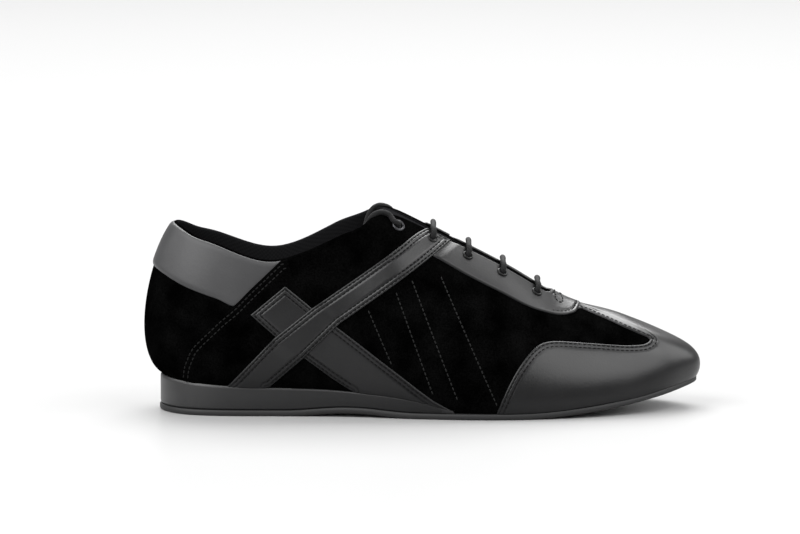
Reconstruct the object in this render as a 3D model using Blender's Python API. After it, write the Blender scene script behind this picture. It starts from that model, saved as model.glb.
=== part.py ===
"""A low lace-up dance sneaker for the right foot.

The upper is one wall drawn through sections of the last. Every other piece follows that surface:
the tongue and the insole lie inside it, the wedge and the outsole close it underneath, and the toe cap,
the eyestay, the heel collar and the crossed straps are patches of its outer face made thick.
Sizes are in millimetres: x runs forward from the back of the heel, y towards the inner side of the
foot and z up from the floor. Solids are moved to the middle of the shoe and scaled to metres at the end.
"""

import math

import bmesh
import bpy
import numpy as np

MM = 0.001
SMOOTH_ANGLE = math.radians(40)
MIDDLE_X = 145.0
MIDDLE_Y = 0.57
GAP = 0.3
WALL = 2.2
OUTSOLE = 3.2
INSOLE = 3.0
TONGUE = 3.0

# One row for each section of the last, from the middle of the heel round to the tip of the toe.
# The foot columns place the edge that meets the sole, with its distance to the outer and the inner side.
# The top columns place the edge of the opening and, ahead of it, of the ridge along the vamp.
# Rise and flare give the wall's length and outward lean where it leaves the sole,
# drop and dip its length and downward slope where it leaves the top, and heading the way it faces there.
SECTION_COLUMNS = ("foot_x", "outer", "inner", "foot_z", "top_x", "middle", "half", "top_z",
                   "rise", "flare", "drop", "dip", "heading")
SECTIONS = (
    (8.0, 0.0, 0.0, 18.8, 16.5, 0.0, 0.0, 100.0, 22.5, 54.0, 19.4, 46.0, 180.0),
    (12.5, 16.0, 16.0, 18.3, 19.0, 0.0, 11.5, 99.4, 24.0, 40.0, 21.0, 58.0, 150.0),
    (24.0, 27.0, 27.0, 17.2, 28.5, 0.0, 20.5, 98.0, 25.5, 24.0, 23.0, 70.0, 120.0),
    (43.0, 31.5, 31.2, 15.8, 45.0, 0.2, 26.5, 96.5, 25.5, 14.0, 25.0, 79.0, 97.0),
    (68.0, 32.2, 29.8, 14.9, 68.0, 0.6, 29.0, 97.0, 25.0, 11.0, 26.0, 82.0, 90.0),
    (95.0, 34.0, 27.0, 14.3, 91.0, 1.2, 27.0, 101.0, 25.0, 10.0, 27.0, 78.0, 90.0),
    (120.0, 38.2, 28.2, 12.4, 111.0, 1.8, 21.5, 106.0, 26.0, 9.0, 28.0, 64.0, 90.0),
    (142.0, 42.8, 33.7, 9.6, 128.0, 2.3, 15.5, 103.8, 28.0, 8.0, 28.0, 42.0, 90.0),
    (163.0, 46.0, 40.0, 6.0, 147.0, 2.8, 11.8, 95.2, 29.0, 8.0, 28.0, 34.0, 90.0),
    (184.0, 47.0, 45.5, 3.5, 168.0, 3.3, 10.4, 84.4, 28.0, 7.0, 27.0, 31.0, 90.0),
    (204.0, 44.9, 48.0, 3.8, 188.0, 3.8, 9.6, 74.0, 26.0, 7.0, 26.0, 29.0, 90.0),
    (223.0, 40.6, 47.0, 5.3, 206.0, 4.2, 8.8, 63.1, 23.0, 8.0, 24.0, 26.0, 90.0),
    (241.0, 34.4, 44.0, 7.5, 222.0, 4.6, 8.0, 54.2, 20.0, 9.0, 22.0, 21.0, 90.0),
    (258.0, 26.0, 38.8, 9.8, 236.0, 5.0, 6.8, 50.6, 18.0, 11.0, 20.0, 18.0, 84.0),
    (271.5, 17.0, 31.6, 12.8, 247.5, 5.4, 5.2, 47.9, 17.0, 15.0, 20.0, 17.0, 64.0),
    (281.5, 6.4, 22.6, 14.8, 255.0, 5.7, 2.8, 45.15, 16.5, 20.0, 21.0, 19.0, 36.0),
    (288.0, -7.0, 7.0, 16.3, 258.5, 6.0, 0.0, 43.6, 16.5, 25.0, 20.5, 24.0, 0.0),
)
TIP = len(SECTIONS) - 1
ROUND = 2 * TIP

# The side view of the collar, from the heel tab over the dip at the ankle to the peak at the top eyelet.
EDGE_COLUMNS = ("x", "z")
TOP_LINE = (
    (14.0, 98.8),
    (17.0, 97.4),
    (20.0, 95.8),
    (24.2, 93.5),
    (28.4, 91.9),
    (33.0, 90.6),
    (41.4, 87.6),
    (66.0, 80.8),
    (88.0, 87.5),
    (96.4, 92.0),
    (102.7, 95.3),
    (109.0, 97.8),
    (115.3, 100.5),
    (118.8, 102.3),
    (123.5, 103.8),
    (129.0, 103.2),
    (140.0, 98.8),
)
# The outer side is cut a little lower behind the top eyelet: x and depth.
OUTER_DIP = (
    (80.0, 0.0),
    (90.0, 0.9),
    (100.0, 1.9),
    (109.0, 2.1),
    (113.5, 1.9),
    (117.0, 0.9),
    (120.0, 0.2),
    (123.0, 0.0),
)
PEAK_ROW = 7.2

THROAT_FRONT = 213.5
THROAT_ROUND = 9.0

# The floor line under the outsole: flat heel, raised waist, flat forefoot, then the toe spring.
ARCH_BACK = 72.0
ARCH_FRONT = 142.0
ARCH_LIFT = 2.0
SPRING_START = 186.0
SPRING_STRAIGHT = 290.0
SPRING_SLOPE = 0.268
SOLE_MARGIN = 0.8
WEDGE_THIN = 0.8

# Side views of the overlays' edges on the upper, each from back to front.
CAP_EDGE = (
    (182.5, 2.0),
    (188.0, 15.0),
    (194.3, 26.5),
    (200.5, 34.2),
    (205.5, 38.0),
    (210.6, 39.2),
    (217.0, 39.0),
    (227.3, 37.8),
    (237.8, 36.6),
    (248.3, 35.6),
    (255.6, 35.3),
    (259.0, 35.4),
    (261.0, 35.7),
    (262.3, 36.2),
    (263.1, 36.8),
    (263.4, 37.4),
)
CAP_STRIP_EDGE = (
    (228.4, 52.4),
    (235.7, 49.6),
    (242.0, 47.2),
    (248.3, 44.5),
    (254.6, 41.9),
    (258.8, 40.1),
    (261.0, 39.2),
    (262.3, 38.6),
    (263.1, 38.0),
    (263.4, 37.4),
)
EYESTAY_EDGE = (
    (151.0, 82.3),
    (172.0, 70.4),
    (187.5, 62.6),
    (195.9, 58.1),
    (202.2, 55.2),
    (208.5, 53.0),
    (213.7, 51.5),
    (219.0, 50.6),
    (223.2, 50.8),
    (225.6, 51.8),
    (226.9, 53.4),
)
HEEL_COLLAR_EDGE = (
    (0.0, 78.4),
    (2.0, 77.2),
    (8.0, 74.0),
    (12.6, 71.6),
    (20.6, 67.7),
    (28.2, 64.8),
    (34.8, 62.6),
    (39.5, 60.9),
    (44.0, 58.6),
    (47.0, 57.8),
    (50.0, 59.4),
    (54.0, 63.3),
    (58.5, 67.9),
    (63.2, 72.4),
    (74.0, 83.0),
)
STRAP_BACK_EDGE = (
    (43.5, 16.0),
    (67.5, 41.3),
    (87.4, 57.0),
    (113.4, 74.6),
    (150.0, 99.8),
)
STRAP_FRONT_EDGE = (
    (65.0, 15.0),
    (83.2, 31.0),
    (102.0, 49.0),
    (138.3, 74.6),
    (164.0, 92.0),
)
CROSS_TOP_EDGE = (
    (55.2, 53.4),
    (73.4, 68.4),
    (87.4, 57.0),
    (127.9, 27.6),
    (153.8, 10.4),
    (165.5, 4.5),
)
CROSS_LOW_EDGE = (
    (55.2, 53.4),
    (68.2, 41.9),
    (83.7, 30.4),
    (97.3, 20.6),
    (106.5, 14.6),
    (112.0, 11.6),
    (117.0, 0.0),
)
# Places round the ring, as section rows, where the overlays start and end.
CAP_BAND_START = 8.97
CAP_STRIP_START = 12.45
CAP_POINT = 14.25
EYESTAY_START = 8.12
EYESTAY_END = 12.36
COLLAR_END = 4.2
RISING_START = 3.03
RISING_END = 8.56
FALLING_START = 3.5
FALLING_END = 8.1
OVERLAY = 0.9
OVERLAY_GAP = 0.4
OVERLAY_FOOT = 0.03
BUTT = 0.8
CROSS_GAP = 0.6
CROSS_CLEAR = 4.5
CROSS_RAMP = 6.0

EYELET_OUTER = 3.6
EYELET_HOLE = 2.1
EYELET_HIGH = 0.9
EYELET_SET = 6.2
EYELET_ROWS = (7.23, 8.15, 9.06, 9.98, 10.9)
BARE_EYELET = 0
# The ring's profile: share of the way from the hole to the rim, and share of its height.
EYELET_PROFILE = ((0.0, 0.0), (0.0, 0.7), (0.5, 1.0), (1.0, 0.4), (1.0, 0.0))
LACE = 3.0
LACE_CLEAR = 0.45
TOP_BAR_ROW = 6.98
BAR_SETTLE = 0.8

INSOLE_CLEAR = 0.6
TONGUE_UNDER = 13.0
TONGUE_SAG = 0.7
TONGUE_CLEAR = 0.9
TONGUE_BACK_ROW = 6.95
TONGUE_FRONT_ROW = 11.9

UPPER_COLUMNS = 96
UPPER_ROWS = 9
SOLE_COLUMNS = 64
TONGUE_COLUMNS = 14
TONGUE_ROWS = 4
CAP_COLUMNS = 16
CAP_ROWS = 5
STRIP_COLUMNS = 8
FRONT_COLUMNS = 14
EYESTAY_COLUMNS = 22
COLLAR_COLUMNS = 36
STRAP_COLUMNS = 30
OVERLAY_ROWS = 3
EYELET_SIDES = 12
BAR_POINTS = 5


def clear_scene():
    for thing in list(bpy.data.objects):
        bpy.data.objects.remove(thing, do_unlink=True)


def ring_values():
    """The section columns all the way round: outer side heel to toe, then inner side back to the heel."""
    table = np.array(SECTIONS)
    column = {name: table[:, k] for k, name in enumerate(SECTION_COLUMNS)}
    back = slice(TIP - 1, 0, -1)
    heading = np.radians(column["heading"])
    outer_only = {
        "foot_y": (-column["outer"], column["inner"]),
        "top_y": (column["middle"] - column["half"], column["middle"] + column["half"]),
        "face_y": (-np.sin(heading), np.sin(heading)),
    }
    same = {name: column[name] for name in ("foot_x", "foot_z", "top_x", "top_z", "middle", "half",
                                            "rise", "flare", "drop", "dip")}
    same["face_x"] = np.cos(heading)
    ring = {name: np.concatenate([values, values[back]]) for name, values in same.items()}
    for name, (outer, inner) in outer_only.items():
        ring[name] = np.concatenate([outer, inner[back]])
    return ring


RING = ring_values()
RING_NAMES = tuple(RING)
RING_ROWS = np.stack([RING[name] for name in RING_NAMES], axis=1)


def closed_bends(rows):
    """Second derivatives of the closed cubic spline through evenly spaced rows."""
    count = len(rows)
    unit = np.eye(count)
    system = 4 * unit + np.roll(unit, 1, axis=0) + np.roll(unit, -1, axis=0)
    return np.linalg.solve(system, 6 * (np.roll(rows, 1, axis=0) - 2 * rows + np.roll(rows, -1, axis=0)))


RING_BENDS = closed_bends(RING_ROWS)


def section(u):
    """Every section column at place u round the ring, by name."""
    u = np.asarray(u, dtype=float)
    low = np.floor(u).astype(int)
    after = (u - low)[..., None]
    before = 1 - after
    first = low % ROUND
    second = (low + 1) % ROUND
    values = (before * RING_ROWS[first] + after * RING_ROWS[second]
              + ((before ** 3 - before) * RING_BENDS[first] + (after ** 3 - after) * RING_BENDS[second]) / 6)
    return {name: values[..., k] for k, name in enumerate(RING_NAMES)}


def crown_slopes():
    """Slope of the crown where it leaves the top edge, at even places round the ring.

    It lies in the plane of the edge's run and the wall's own dip, so that no crease shows there, and is
    the mean of the two sides.
    """
    u = np.linspace(0, ROUND, 40 * ROUND + 1)
    nudge = 0.01
    c = section(u)
    ahead = section(u + nudge)
    behind = section(u - nudge)
    run_x, run_y, run_z = (ahead[name] - behind[name] for name in ("top_x", "top_y", "top_z"))
    fall = np.tan(np.radians(c["dip"])) * np.hypot(c["face_x"], c["face_y"])
    level = run_x * c["face_y"] - run_y * c["face_x"]
    slope = np.where(u < TIP, 1, -1) * (-run_x * fall - run_z * c["face_x"]) / level
    return u, np.clip((slope + slope[::-1]) / 2, -0.2, 1.0)


CROWN_PLACES, CROWN_SLOPES = crown_slopes()


def edge_columns(table):
    return dict(zip(EDGE_COLUMNS, np.transpose(table)))


def open_spline(table, x):
    """Natural cubic spline through the rows of a side view's edge."""
    edge = edge_columns(table)
    knots, heights = edge["x"], edge["z"]
    x = np.clip(x, knots[0], knots[-1])
    steps = np.diff(knots)
    count = len(knots)
    system = np.eye(count)
    bends = np.zeros(count)
    for k in range(1, count - 1):
        system[k, k - 1:k + 2] = steps[k - 1], 2 * (steps[k - 1] + steps[k]), steps[k]
        slopes = np.diff(heights[k - 1:k + 2]) / steps[k - 1:k + 1]
        bends[k] = 6 * (slopes[1] - slopes[0])
    bends = np.linalg.solve(system, bends)
    k = np.clip(np.searchsorted(knots, x) - 1, 0, count - 2)
    step = steps[k]
    after = (x - knots[k]) / step
    before = 1 - after
    curve = (before ** 3 - before) * bends[k] + (after ** 3 - after) * bends[k + 1]
    return before * heights[k] + after * heights[k + 1] + step ** 2 * curve / 6


def ground(x):
    """Height of the outsole's underside above the floor."""
    turn = np.clip((x - ARCH_BACK) / (ARCH_FRONT - ARCH_BACK), 0, 1)
    arch = ARCH_LIFT * (1 - np.cos(2 * math.pi * turn)) / 2
    along = np.clip(x - SPRING_START, 0, None)
    bend = SPRING_STRAIGHT - SPRING_START
    spring = np.where(along < bend, SPRING_SLOPE * along ** 2 / (2 * bend), SPRING_SLOPE * (along - bend / 2))
    return arch + spring


def foot_normal(u):
    """Outward direction of the sole's outline in plan at place u."""
    ahead, behind = section(u + 0.01), section(u - 0.01)
    run_x = ahead["foot_x"] - behind["foot_x"]
    run_y = ahead["foot_y"] - behind["foot_y"]
    size = np.hypot(run_x, run_y)
    return run_y / size, -run_x / size


def surface(u, t):
    """Outer face of the upper: t is 0 at the sole, 1 at the top edge and 2 on the throat's middle line."""
    u, t = np.broadcast_arrays(np.asarray(u, dtype=float), np.asarray(t, dtype=float))
    c = section(u)
    out_x, out_y = foot_normal(u)
    flare, dip = np.radians(c["flare"]), np.radians(c["dip"])
    face = np.hypot(c["face_x"], c["face_y"])
    foot = np.stack([c["foot_x"], c["foot_y"], c["foot_z"]], axis=-1)
    top = np.stack([c["top_x"], c["top_y"], c["top_z"]], axis=-1)
    lean = np.stack([np.sin(flare) * out_x, np.sin(flare) * out_y, np.cos(flare)], axis=-1)
    level = np.cos(dip) / face
    fall = np.stack([level * c["face_x"], level * c["face_y"], -np.sin(dip)], axis=-1)
    low = foot + c["rise"][..., None] * lean
    high = top + c["drop"][..., None] * fall
    a = np.clip(t, 0, 1)[..., None]
    b = 1 - a
    wall = b ** 3 * foot + 3 * b ** 2 * a * low + 3 * b * a ** 2 * high + a ** 3 * top
    over = np.clip(t - 1, 0, 1)
    crown = c["half"] * np.interp(u % ROUND, CROWN_PLACES, CROWN_SLOPES) / 2
    wall[..., 1] += over * (c["middle"] - c["top_y"])
    wall[..., 2] += crown * (1 - (1 - over) ** 2)
    return wall


def normals(u, t):
    """Outward unit normals of the upper's face. Both sides share one normal on the middle line."""
    step = 0.004
    t = np.where(section(u)["half"] < 0.05, np.minimum(t, 1 - step), t)
    t_low, t_high = np.clip(t - step, 0, 2), np.clip(t + step, 0, 2)
    along = surface(u + step, t) - surface(u - step, t)
    up = surface(u, t_high) - surface(u, t_low)
    cross = np.cross(along, up)
    cross[..., 1] = np.where(t > 2 - step, 0.0, cross[..., 1])
    return cross / np.linalg.norm(cross, axis=-1, keepdims=True)


def cut(u, height, low, high):
    """The t between low and high where each column passes a side view's height, a function of x."""
    low, high = np.broadcast_to(low, u.shape), np.broadcast_to(high, u.shape)
    ceiling = high
    for _ in range(40):
        mid = (low + high) / 2
        point = surface(u, mid)
        under = point[..., 2] < height(point[..., 0])
        low, high = np.where(under, mid, low), np.where(under, high, mid)
    return np.where(ceiling - high < 1e-9, ceiling, high)


def smooth_line(table):
    return lambda x: open_spline(table, x)


def straight_line(table):
    edge = edge_columns(table)
    return lambda x: np.interp(x, edge["x"], edge["z"])


def top_edge(u):
    """The t where the upper ends: the collar's side view, the throat's edge, or the middle line."""
    u = np.asarray(u, dtype=float) % ROUND
    place = np.where(u > TIP, ROUND - u, u)
    inner_line = smooth_line(TOP_LINE)
    dip = edge_columns(OUTER_DIP)
    inner = cut(u, inner_line, 0.3, 1.0)
    outer = cut(u, lambda x: inner_line(x) - np.interp(x, dip["x"], dip["z"]), 0.3, 1.0)
    collar = np.where(place < PEAK_ROW, np.where(u > TIP, inner, outer), 1.0)
    c = section(u)
    back = THROAT_FRONT - THROAT_ROUND
    turn = np.clip((c["top_x"] - back) / THROAT_ROUND, 0, 1)
    return np.where(c["top_x"] > back, 2 - np.sqrt(1 - turn ** 2), collar)


def even_rows(u, low, high, rows):
    """For each column u, the t values that cut it from low to high into rows of equal length."""
    share = np.linspace(0, 1, 81)
    t = low[:, None] + (high - low)[:, None] * share
    points = surface(np.broadcast_to(u[:, None], t.shape), t)
    length = np.cumsum(np.linalg.norm(np.diff(points, axis=1), axis=2), axis=1)
    length = np.concatenate([np.zeros((len(u), 1)), length], axis=1)
    want = np.linspace(0, 1, rows + 1)
    return np.stack([np.interp(want * length[k, -1], length[k], t[k]) for k in range(len(u))])


def grid_faces(columns, rows, closed):
    """Quads of a grid whose points run column by column."""
    turns = columns if closed else columns - 1
    i, j = np.meshgrid(np.arange(turns), np.arange(rows), indexing="ij")
    after = (i + 1) % columns
    quads = np.stack([i * (rows + 1) + j, after * (rows + 1) + j,
                      after * (rows + 1) + j + 1, i * (rows + 1) + j + 1], axis=-1)
    return quads.reshape(-1, 4).tolist()


def make_material(name, colour, roughness, metallic=0.0):
    material = bpy.data.materials.new(name)
    material.use_nodes = True
    shader = material.node_tree.nodes["Principled BSDF"]
    shader.inputs["Base Color"].default_value = (*colour, 1.0)
    shader.inputs["Roughness"].default_value = roughness
    shader.inputs["Metallic"].default_value = metallic
    return material


def make_object(name, points, faces, material):
    """A mesh object from millimetre points, with doubles merged."""
    places = (np.asarray(points).reshape(-1, 3) - (MIDDLE_X, MIDDLE_Y, 0.0)) * MM
    mesh = bpy.data.meshes.new(name)
    mesh.from_pydata(places.tolist(), [], faces)
    shape = bmesh.new()
    shape.from_mesh(mesh)
    bmesh.ops.remove_doubles(shape, verts=shape.verts, dist=2e-6)
    bmesh.ops.dissolve_degenerate(shape, edges=shape.edges, dist=2e-6)
    shape.to_mesh(mesh)
    shape.free()
    mesh.shade_smooth()
    mesh.set_sharp_from_angle(angle=SMOOTH_ANGLE)
    mesh.materials.append(material)
    thing = bpy.data.objects.new(name, mesh)
    bpy.context.scene.collection.objects.link(thing)
    return thing


def thicken(thing, thickness, outward):
    solid = thing.modifiers.new("Wall", "SOLIDIFY")
    solid.thickness = thickness * MM
    solid.offset = 1.0 if outward else -1.0
    solid.use_even_offset = True
    solid.use_quality_normals = True


def build_upper():
    u = np.arange(UPPER_COLUMNS) * ROUND / UPPER_COLUMNS
    t = even_rows(u, np.zeros(len(u)), top_edge(u), UPPER_ROWS)
    points = surface(u[:, None], t)
    suede = make_material("suede", (0.012, 0.012, 0.013), 0.95)
    upper = make_object("upper", points, grid_faces(len(u), UPPER_ROWS, True), suede)
    thicken(upper, WALL, False)


def outline(u, margin):
    """The sole's outline moved outwards by a margin, with the seat height above each point."""
    c = section(u)
    out_x, out_y = foot_normal(u)
    return np.stack([c["foot_x"] + margin * out_x, c["foot_y"] + margin * out_y, c["foot_z"]], axis=-1)


def slab(name, edge, floor, roof, material):
    """A flat piece whose outline runs round from heel to toe and back, between two heights."""
    count = len(edge)
    half = count // 2
    low = np.column_stack([edge[:, :2], floor])
    high = np.column_stack([edge[:, :2], roof])
    faces = [[k, (k + 1) % count, (k + 1) % count + count, k + count] for k in range(count)]
    for k in range(half):
        left, right = (k, k + 1), (-k % count, -(k + 1) % count)
        ladder = [left[0], right[0], right[1], left[1]]
        ladder = list(dict.fromkeys(ladder))
        faces.append(ladder)
        faces.append([corner + count for corner in reversed(ladder)])
    return make_object(name, np.concatenate([low, high]), faces, material)


def seat(x):
    """Height of the upper's lower edge above the floor at distance x from the heel."""
    u = np.linspace(0, TIP, 400)
    c = section(u)
    return np.interp(x, c["foot_x"], c["foot_z"])


def sole_top(x):
    return np.minimum(ground(x) + OUTSOLE, seat(x) - GAP)


def build_outsole():
    u = np.arange(SOLE_COLUMNS) * ROUND / SOLE_COLUMNS
    edge = outline(u, SOLE_MARGIN)
    rubber = make_material("sole_rubber", (0.02, 0.02, 0.021), 0.6)
    slab("outsole", edge, ground(edge[:, 0]), sole_top(edge[:, 0]), rubber)


def build_wedge():
    u = np.linspace(0, TIP, 400)
    c = section(u)
    high = c["foot_z"] - GAP - sole_top(c["foot_x"]) - GAP
    front = u[np.nonzero((high > WEDGE_THIN) & (c["foot_x"] < SPRING_START))[0][-1]]
    outer = np.linspace(0, front, SOLE_COLUMNS // 3)
    edge = outline(np.concatenate([outer, ROUND - outer[:0:-1]]), SOLE_MARGIN)
    x = edge[:, 0]
    foam = make_material("wedge_wrap", (0.05, 0.05, 0.052), 0.5)
    slab("heel_wedge", edge, sole_top(x) + GAP, seat(x) - GAP, foam)


def build_insole():
    u = np.arange(SOLE_COLUMNS) * ROUND / SOLE_COLUMNS
    edge = outline(u, -WALL - INSOLE_CLEAR)
    floor = seat(edge[:, 0]) + GAP
    sock = make_material("sock_cloth", (0.02, 0.02, 0.02), 0.9)
    slab("insole", edge, floor, floor + INSOLE, sock)


def reach_down(u, distance):
    """The t on each column that lies a distance below its top edge, measured along the wall."""
    share = np.linspace(0, 1, 81)
    points = surface(u[:, None], share[None, :])
    length = np.cumsum(np.linalg.norm(np.diff(points, axis=1), axis=2), axis=1)
    length = np.concatenate([np.zeros((len(u), 1)), length], axis=1)
    return np.array([np.interp(line[-1] - distance, line, share) for line in length])


def inside_half(u, low, rows, depth):
    """One side of a sheet that lies a depth under the upper's face and sags between the throat's edges."""
    t = even_rows(u, low, np.full(len(u), 2.0), rows)
    spot = u[:, None] + 0 * t
    points = surface(spot, t) - depth * normals(spot, t)
    c = section(u)
    back = np.abs(TIP - u) - (TIP - TONGUE_FRONT_ROW)
    share = back / (TONGUE_FRONT_ROW - TONGUE_BACK_ROW)
    sag = TONGUE_SAG * share * c["half"] * np.tan(np.radians(c["dip"])) / 2
    over = np.clip(t - 1, 0, 1)
    points[..., 2] -= sag[:, None] * (1 - (1 - over) ** 2)
    return points


def build_tongue():
    u = np.linspace(TONGUE_BACK_ROW, TONGUE_FRONT_ROW, TONGUE_COLUMNS)
    low = reach_down(u, TONGUE_UNDER)
    outer = inside_half(u, low, TONGUE_ROWS, WALL + TONGUE_CLEAR)
    inner = inside_half(ROUND - u, low, TONGUE_ROWS, WALL + TONGUE_CLEAR)
    points = np.concatenate([outer, inner[:, -2::-1]], axis=1)
    cloth = make_material("tongue_suede", (0.015, 0.015, 0.016), 0.95)
    tongue = make_object("tongue", points, grid_faces(len(u), 2 * TONGUE_ROWS, False), cloth)
    thicken(tongue, TONGUE, False)


def lay(u, low, high, rows, lift=None):
    """A patch of the upper's face from low to high on each column, set off by the overlay's gap."""
    low = np.maximum(low, OVERLAY_FOOT)
    t = even_rows(u, low, np.maximum(low, high), rows)
    spot = u[:, None] + 0 * t
    off = np.full(t.shape, OVERLAY_GAP)
    if lift is not None:
        off = off + lift(surface(spot, t))
    return surface(spot, t) + off[..., None] * normals(spot, t)


def make_overlay(name, patches, material):
    """One solid from patches that share their edges."""
    points, faces, start = [], [], 0
    for patch in patches:
        columns, rows = patch.shape[0], patch.shape[1] - 1
        quads = np.array(grid_faces(columns, rows, False)) + start
        faces.extend(quads.tolist())
        points.append(patch.reshape(-1, 3))
        start += columns * (rows + 1)
    thing = make_object(name, np.concatenate(points), faces, material)
    thicken(thing, OVERLAY, True)


def both_sides(start, end, columns):
    """Places along the outer side and their mirror places along the inner side."""
    u = np.linspace(start, end, columns + 1)
    return u, ROUND - u[::-1]


def build_toe_cap(leather):
    """Band from the sole up to the cap's edge, the whole toe, and the strip back along the vamp."""
    patches = []
    corners = []
    for u, corner in zip(both_sides(CAP_BAND_START, CAP_POINT, CAP_COLUMNS), (-1, 0)):
        high = cut(u, smooth_line(CAP_EDGE), 0.0, 1.0)
        patches.append(lay(u, 0 * u, high, CAP_ROWS))
        corners.append(high[corner])
    for u, corner, meet in zip(both_sides(CAP_STRIP_START, CAP_POINT, STRIP_COLUMNS), (-1, 0), corners):
        low = cut(u, smooth_line(CAP_STRIP_EDGE), 0.0, 2.0)
        low[corner] = meet
        patches.append(lay(u, low, 0 * u + 2, OVERLAY_ROWS))
    front = np.linspace(CAP_POINT, ROUND - CAP_POINT, FRONT_COLUMNS + 1)
    split = np.linspace(*corners, len(front))
    patches.append(lay(front, 0 * front, split, CAP_ROWS))
    patches.append(lay(front, split, 0 * front + 2, OVERLAY_ROWS))
    make_overlay("toe_cap", patches, leather)


def build_eyestay(leather):
    """Band along both edges of the throat, joined round its front end, up to the rising straps."""
    patches = []
    for u in both_sides(EYESTAY_START, EYESTAY_END, EYESTAY_COLUMNS):
        low = cut(u, smooth_line(EYESTAY_EDGE), 0.0, 2.0)
        strap = cut(u, lambda x: straight_line(STRAP_FRONT_EDGE)(x) - BUTT, 0.0, 1.0)
        high = np.where(strap < 1, strap, top_edge(u))
        patches.append(lay(u, np.minimum(low, high), high, OVERLAY_ROWS))
    make_overlay("eyestay", patches, leather)


def build_heel_collar(leather):
    u = np.linspace(-COLLAR_END, COLLAR_END, COLLAR_COLUMNS + 1) % ROUND
    low = cut(u, smooth_line(HEEL_COLLAR_EDGE), 0.0, 1.0)
    high = top_edge(u)
    make_overlay("heel_collar", [lay(u, np.minimum(low, high), high, OVERLAY_ROWS)], leather)


def cross_lift(points):
    """How far the rising strap lifts to ride over the crossing one."""
    x, z = points[..., 0], points[..., 2]
    over = z - straight_line(CROSS_TOP_EDGE)(x)
    under = straight_line(CROSS_LOW_EDGE)(x) - z
    away = np.maximum(over, under)
    return (OVERLAY + CROSS_GAP) * np.clip(1 - (away - CROSS_CLEAR) / CROSS_RAMP, 0, 1)


def build_straps(leather):
    """A strap rising from the heel to the throat on each side, over one that falls to the ball."""
    rising = both_sides(RISING_START, RISING_END, STRAP_COLUMNS)
    falling = both_sides(FALLING_START, FALLING_END, STRAP_COLUMNS)
    for side, rise, fall in zip(("outer", "inner"), rising, falling):
        low = cut(rise, straight_line(STRAP_FRONT_EDGE), 0.0, 1.0)
        high = np.minimum(cut(rise, straight_line(STRAP_BACK_EDGE), 0.0, 1.0), top_edge(rise))
        make_overlay(f"strap_rising_{side}", [lay(rise, low, high, OVERLAY_ROWS, cross_lift)], leather)
        low = cut(fall, straight_line(CROSS_LOW_EDGE), 0.0, 1.0)
        high = cut(fall, straight_line(CROSS_TOP_EDGE), 0.0, 1.0)
        make_overlay(f"strap_falling_{side}", [lay(fall, low, high, OVERLAY_ROWS)], leather)


def cover(k):
    """Height over the upper's face of what the eyelet in row k sits on."""
    return 0.0 if k == BARE_EYELET else OVERLAY_GAP + OVERLAY


def eyelet_place(k, inner):
    u = np.array([ROUND - EYELET_ROWS[k] if inner else EYELET_ROWS[k]])
    return u[0], reach_down(u, EYELET_SET)[0]


def build_eyelets():
    metal = make_material("eyelet_metal", (0.05, 0.05, 0.052), 0.35, 1.0)
    angle = np.arange(EYELET_SIDES) * 2 * math.pi / EYELET_SIDES
    count = len(EYELET_PROFILE)
    faces = [[i * count + j, i * count + (j + 1) % count,
              (i + 1) % EYELET_SIDES * count + (j + 1) % count, (i + 1) % EYELET_SIDES * count + j]
             for i in range(EYELET_SIDES) for j in range(count)]
    for k in range(len(EYELET_ROWS)):
        for side, inner in (("outer", False), ("inner", True)):
            place = eyelet_place(k, inner)
            up = normals(*place)
            along = np.cross(up, (0.0, 1.0, 0.0))
            along /= np.linalg.norm(along)
            base = surface(*place) + (cover(k) + GAP) * up
            ring = np.cos(angle)[:, None] * along + np.sin(angle)[:, None] * np.cross(up, along)
            wide = EYELET_OUTER - EYELET_HOLE
            points = [base + (EYELET_HOLE + share * wide) * ring + high * EYELET_HIGH * up
                      for share, high in EYELET_PROFILE]
            make_object(f"eyelet_{side}_{k + 1}", np.stack(points, axis=1), faces, metal)


def bar_path(k):
    """The middle of lace bar k: up from one eyelet, over the throat's edge, straight across and down again.

    The top bar leans back on its way up and passes over the peaks of the collar.
    """
    over_eyelet = cover(k) + GAP + EYELET_HIGH + LACE_CLEAR + LACE / 2
    share = np.linspace(0, 1, BAR_POINTS)
    high = over_eyelet - BAR_SETTLE * share ** 2
    halves = []
    for inner in (False, True):
        u, t = eyelet_place(k, inner)
        edge = (ROUND - TOP_BAR_ROW if inner else TOP_BAR_ROW) if k == BARE_EYELET else u
        spot = u + (edge - u) * share
        t = t + (top_edge(np.array([edge]))[0] - t) * share
        halves.append(surface(spot, t) + high[:, None] * normals(spot, np.minimum(t, 0.99)))
    span = np.linspace(halves[0][-1], halves[1][-1], BAR_POINTS)
    return np.concatenate([halves[0], span[1:-1], halves[1][::-1]])


def build_lace():
    cord = make_material("lace_cord", (0.015, 0.015, 0.015), 0.85)
    for k in range(len(EYELET_ROWS)):
        places = (bar_path(k) - (MIDDLE_X, MIDDLE_Y, 0.0)) * MM
        curve = bpy.data.curves.new(f"lace_bar_{k + 1}", "CURVE")
        curve.dimensions = "3D"
        curve.bevel_depth = LACE / 2 * MM
        curve.bevel_resolution = 2
        curve.use_fill_caps = True
        spline = curve.splines.new("POLY")
        spline.points.add(len(places) - 1)
        for node, place in zip(spline.points, places):
            node.co = (*place, 1.0)
        curve.materials.append(cord)
        thing = bpy.data.objects.new(f"lace_bar_{k + 1}", curve)
        bpy.context.scene.collection.objects.link(thing)


def main():
    clear_scene()
    build_outsole()
    build_wedge()
    build_insole()
    build_upper()
    build_tongue()
    leather = make_material("leather", (0.03, 0.03, 0.031), 0.42)
    build_toe_cap(leather)
    build_eyestay(leather)
    build_heel_collar(leather)
    build_straps(leather)
    build_eyelets()
    build_lace()


if __name__ == "__main__":
    main()
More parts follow.
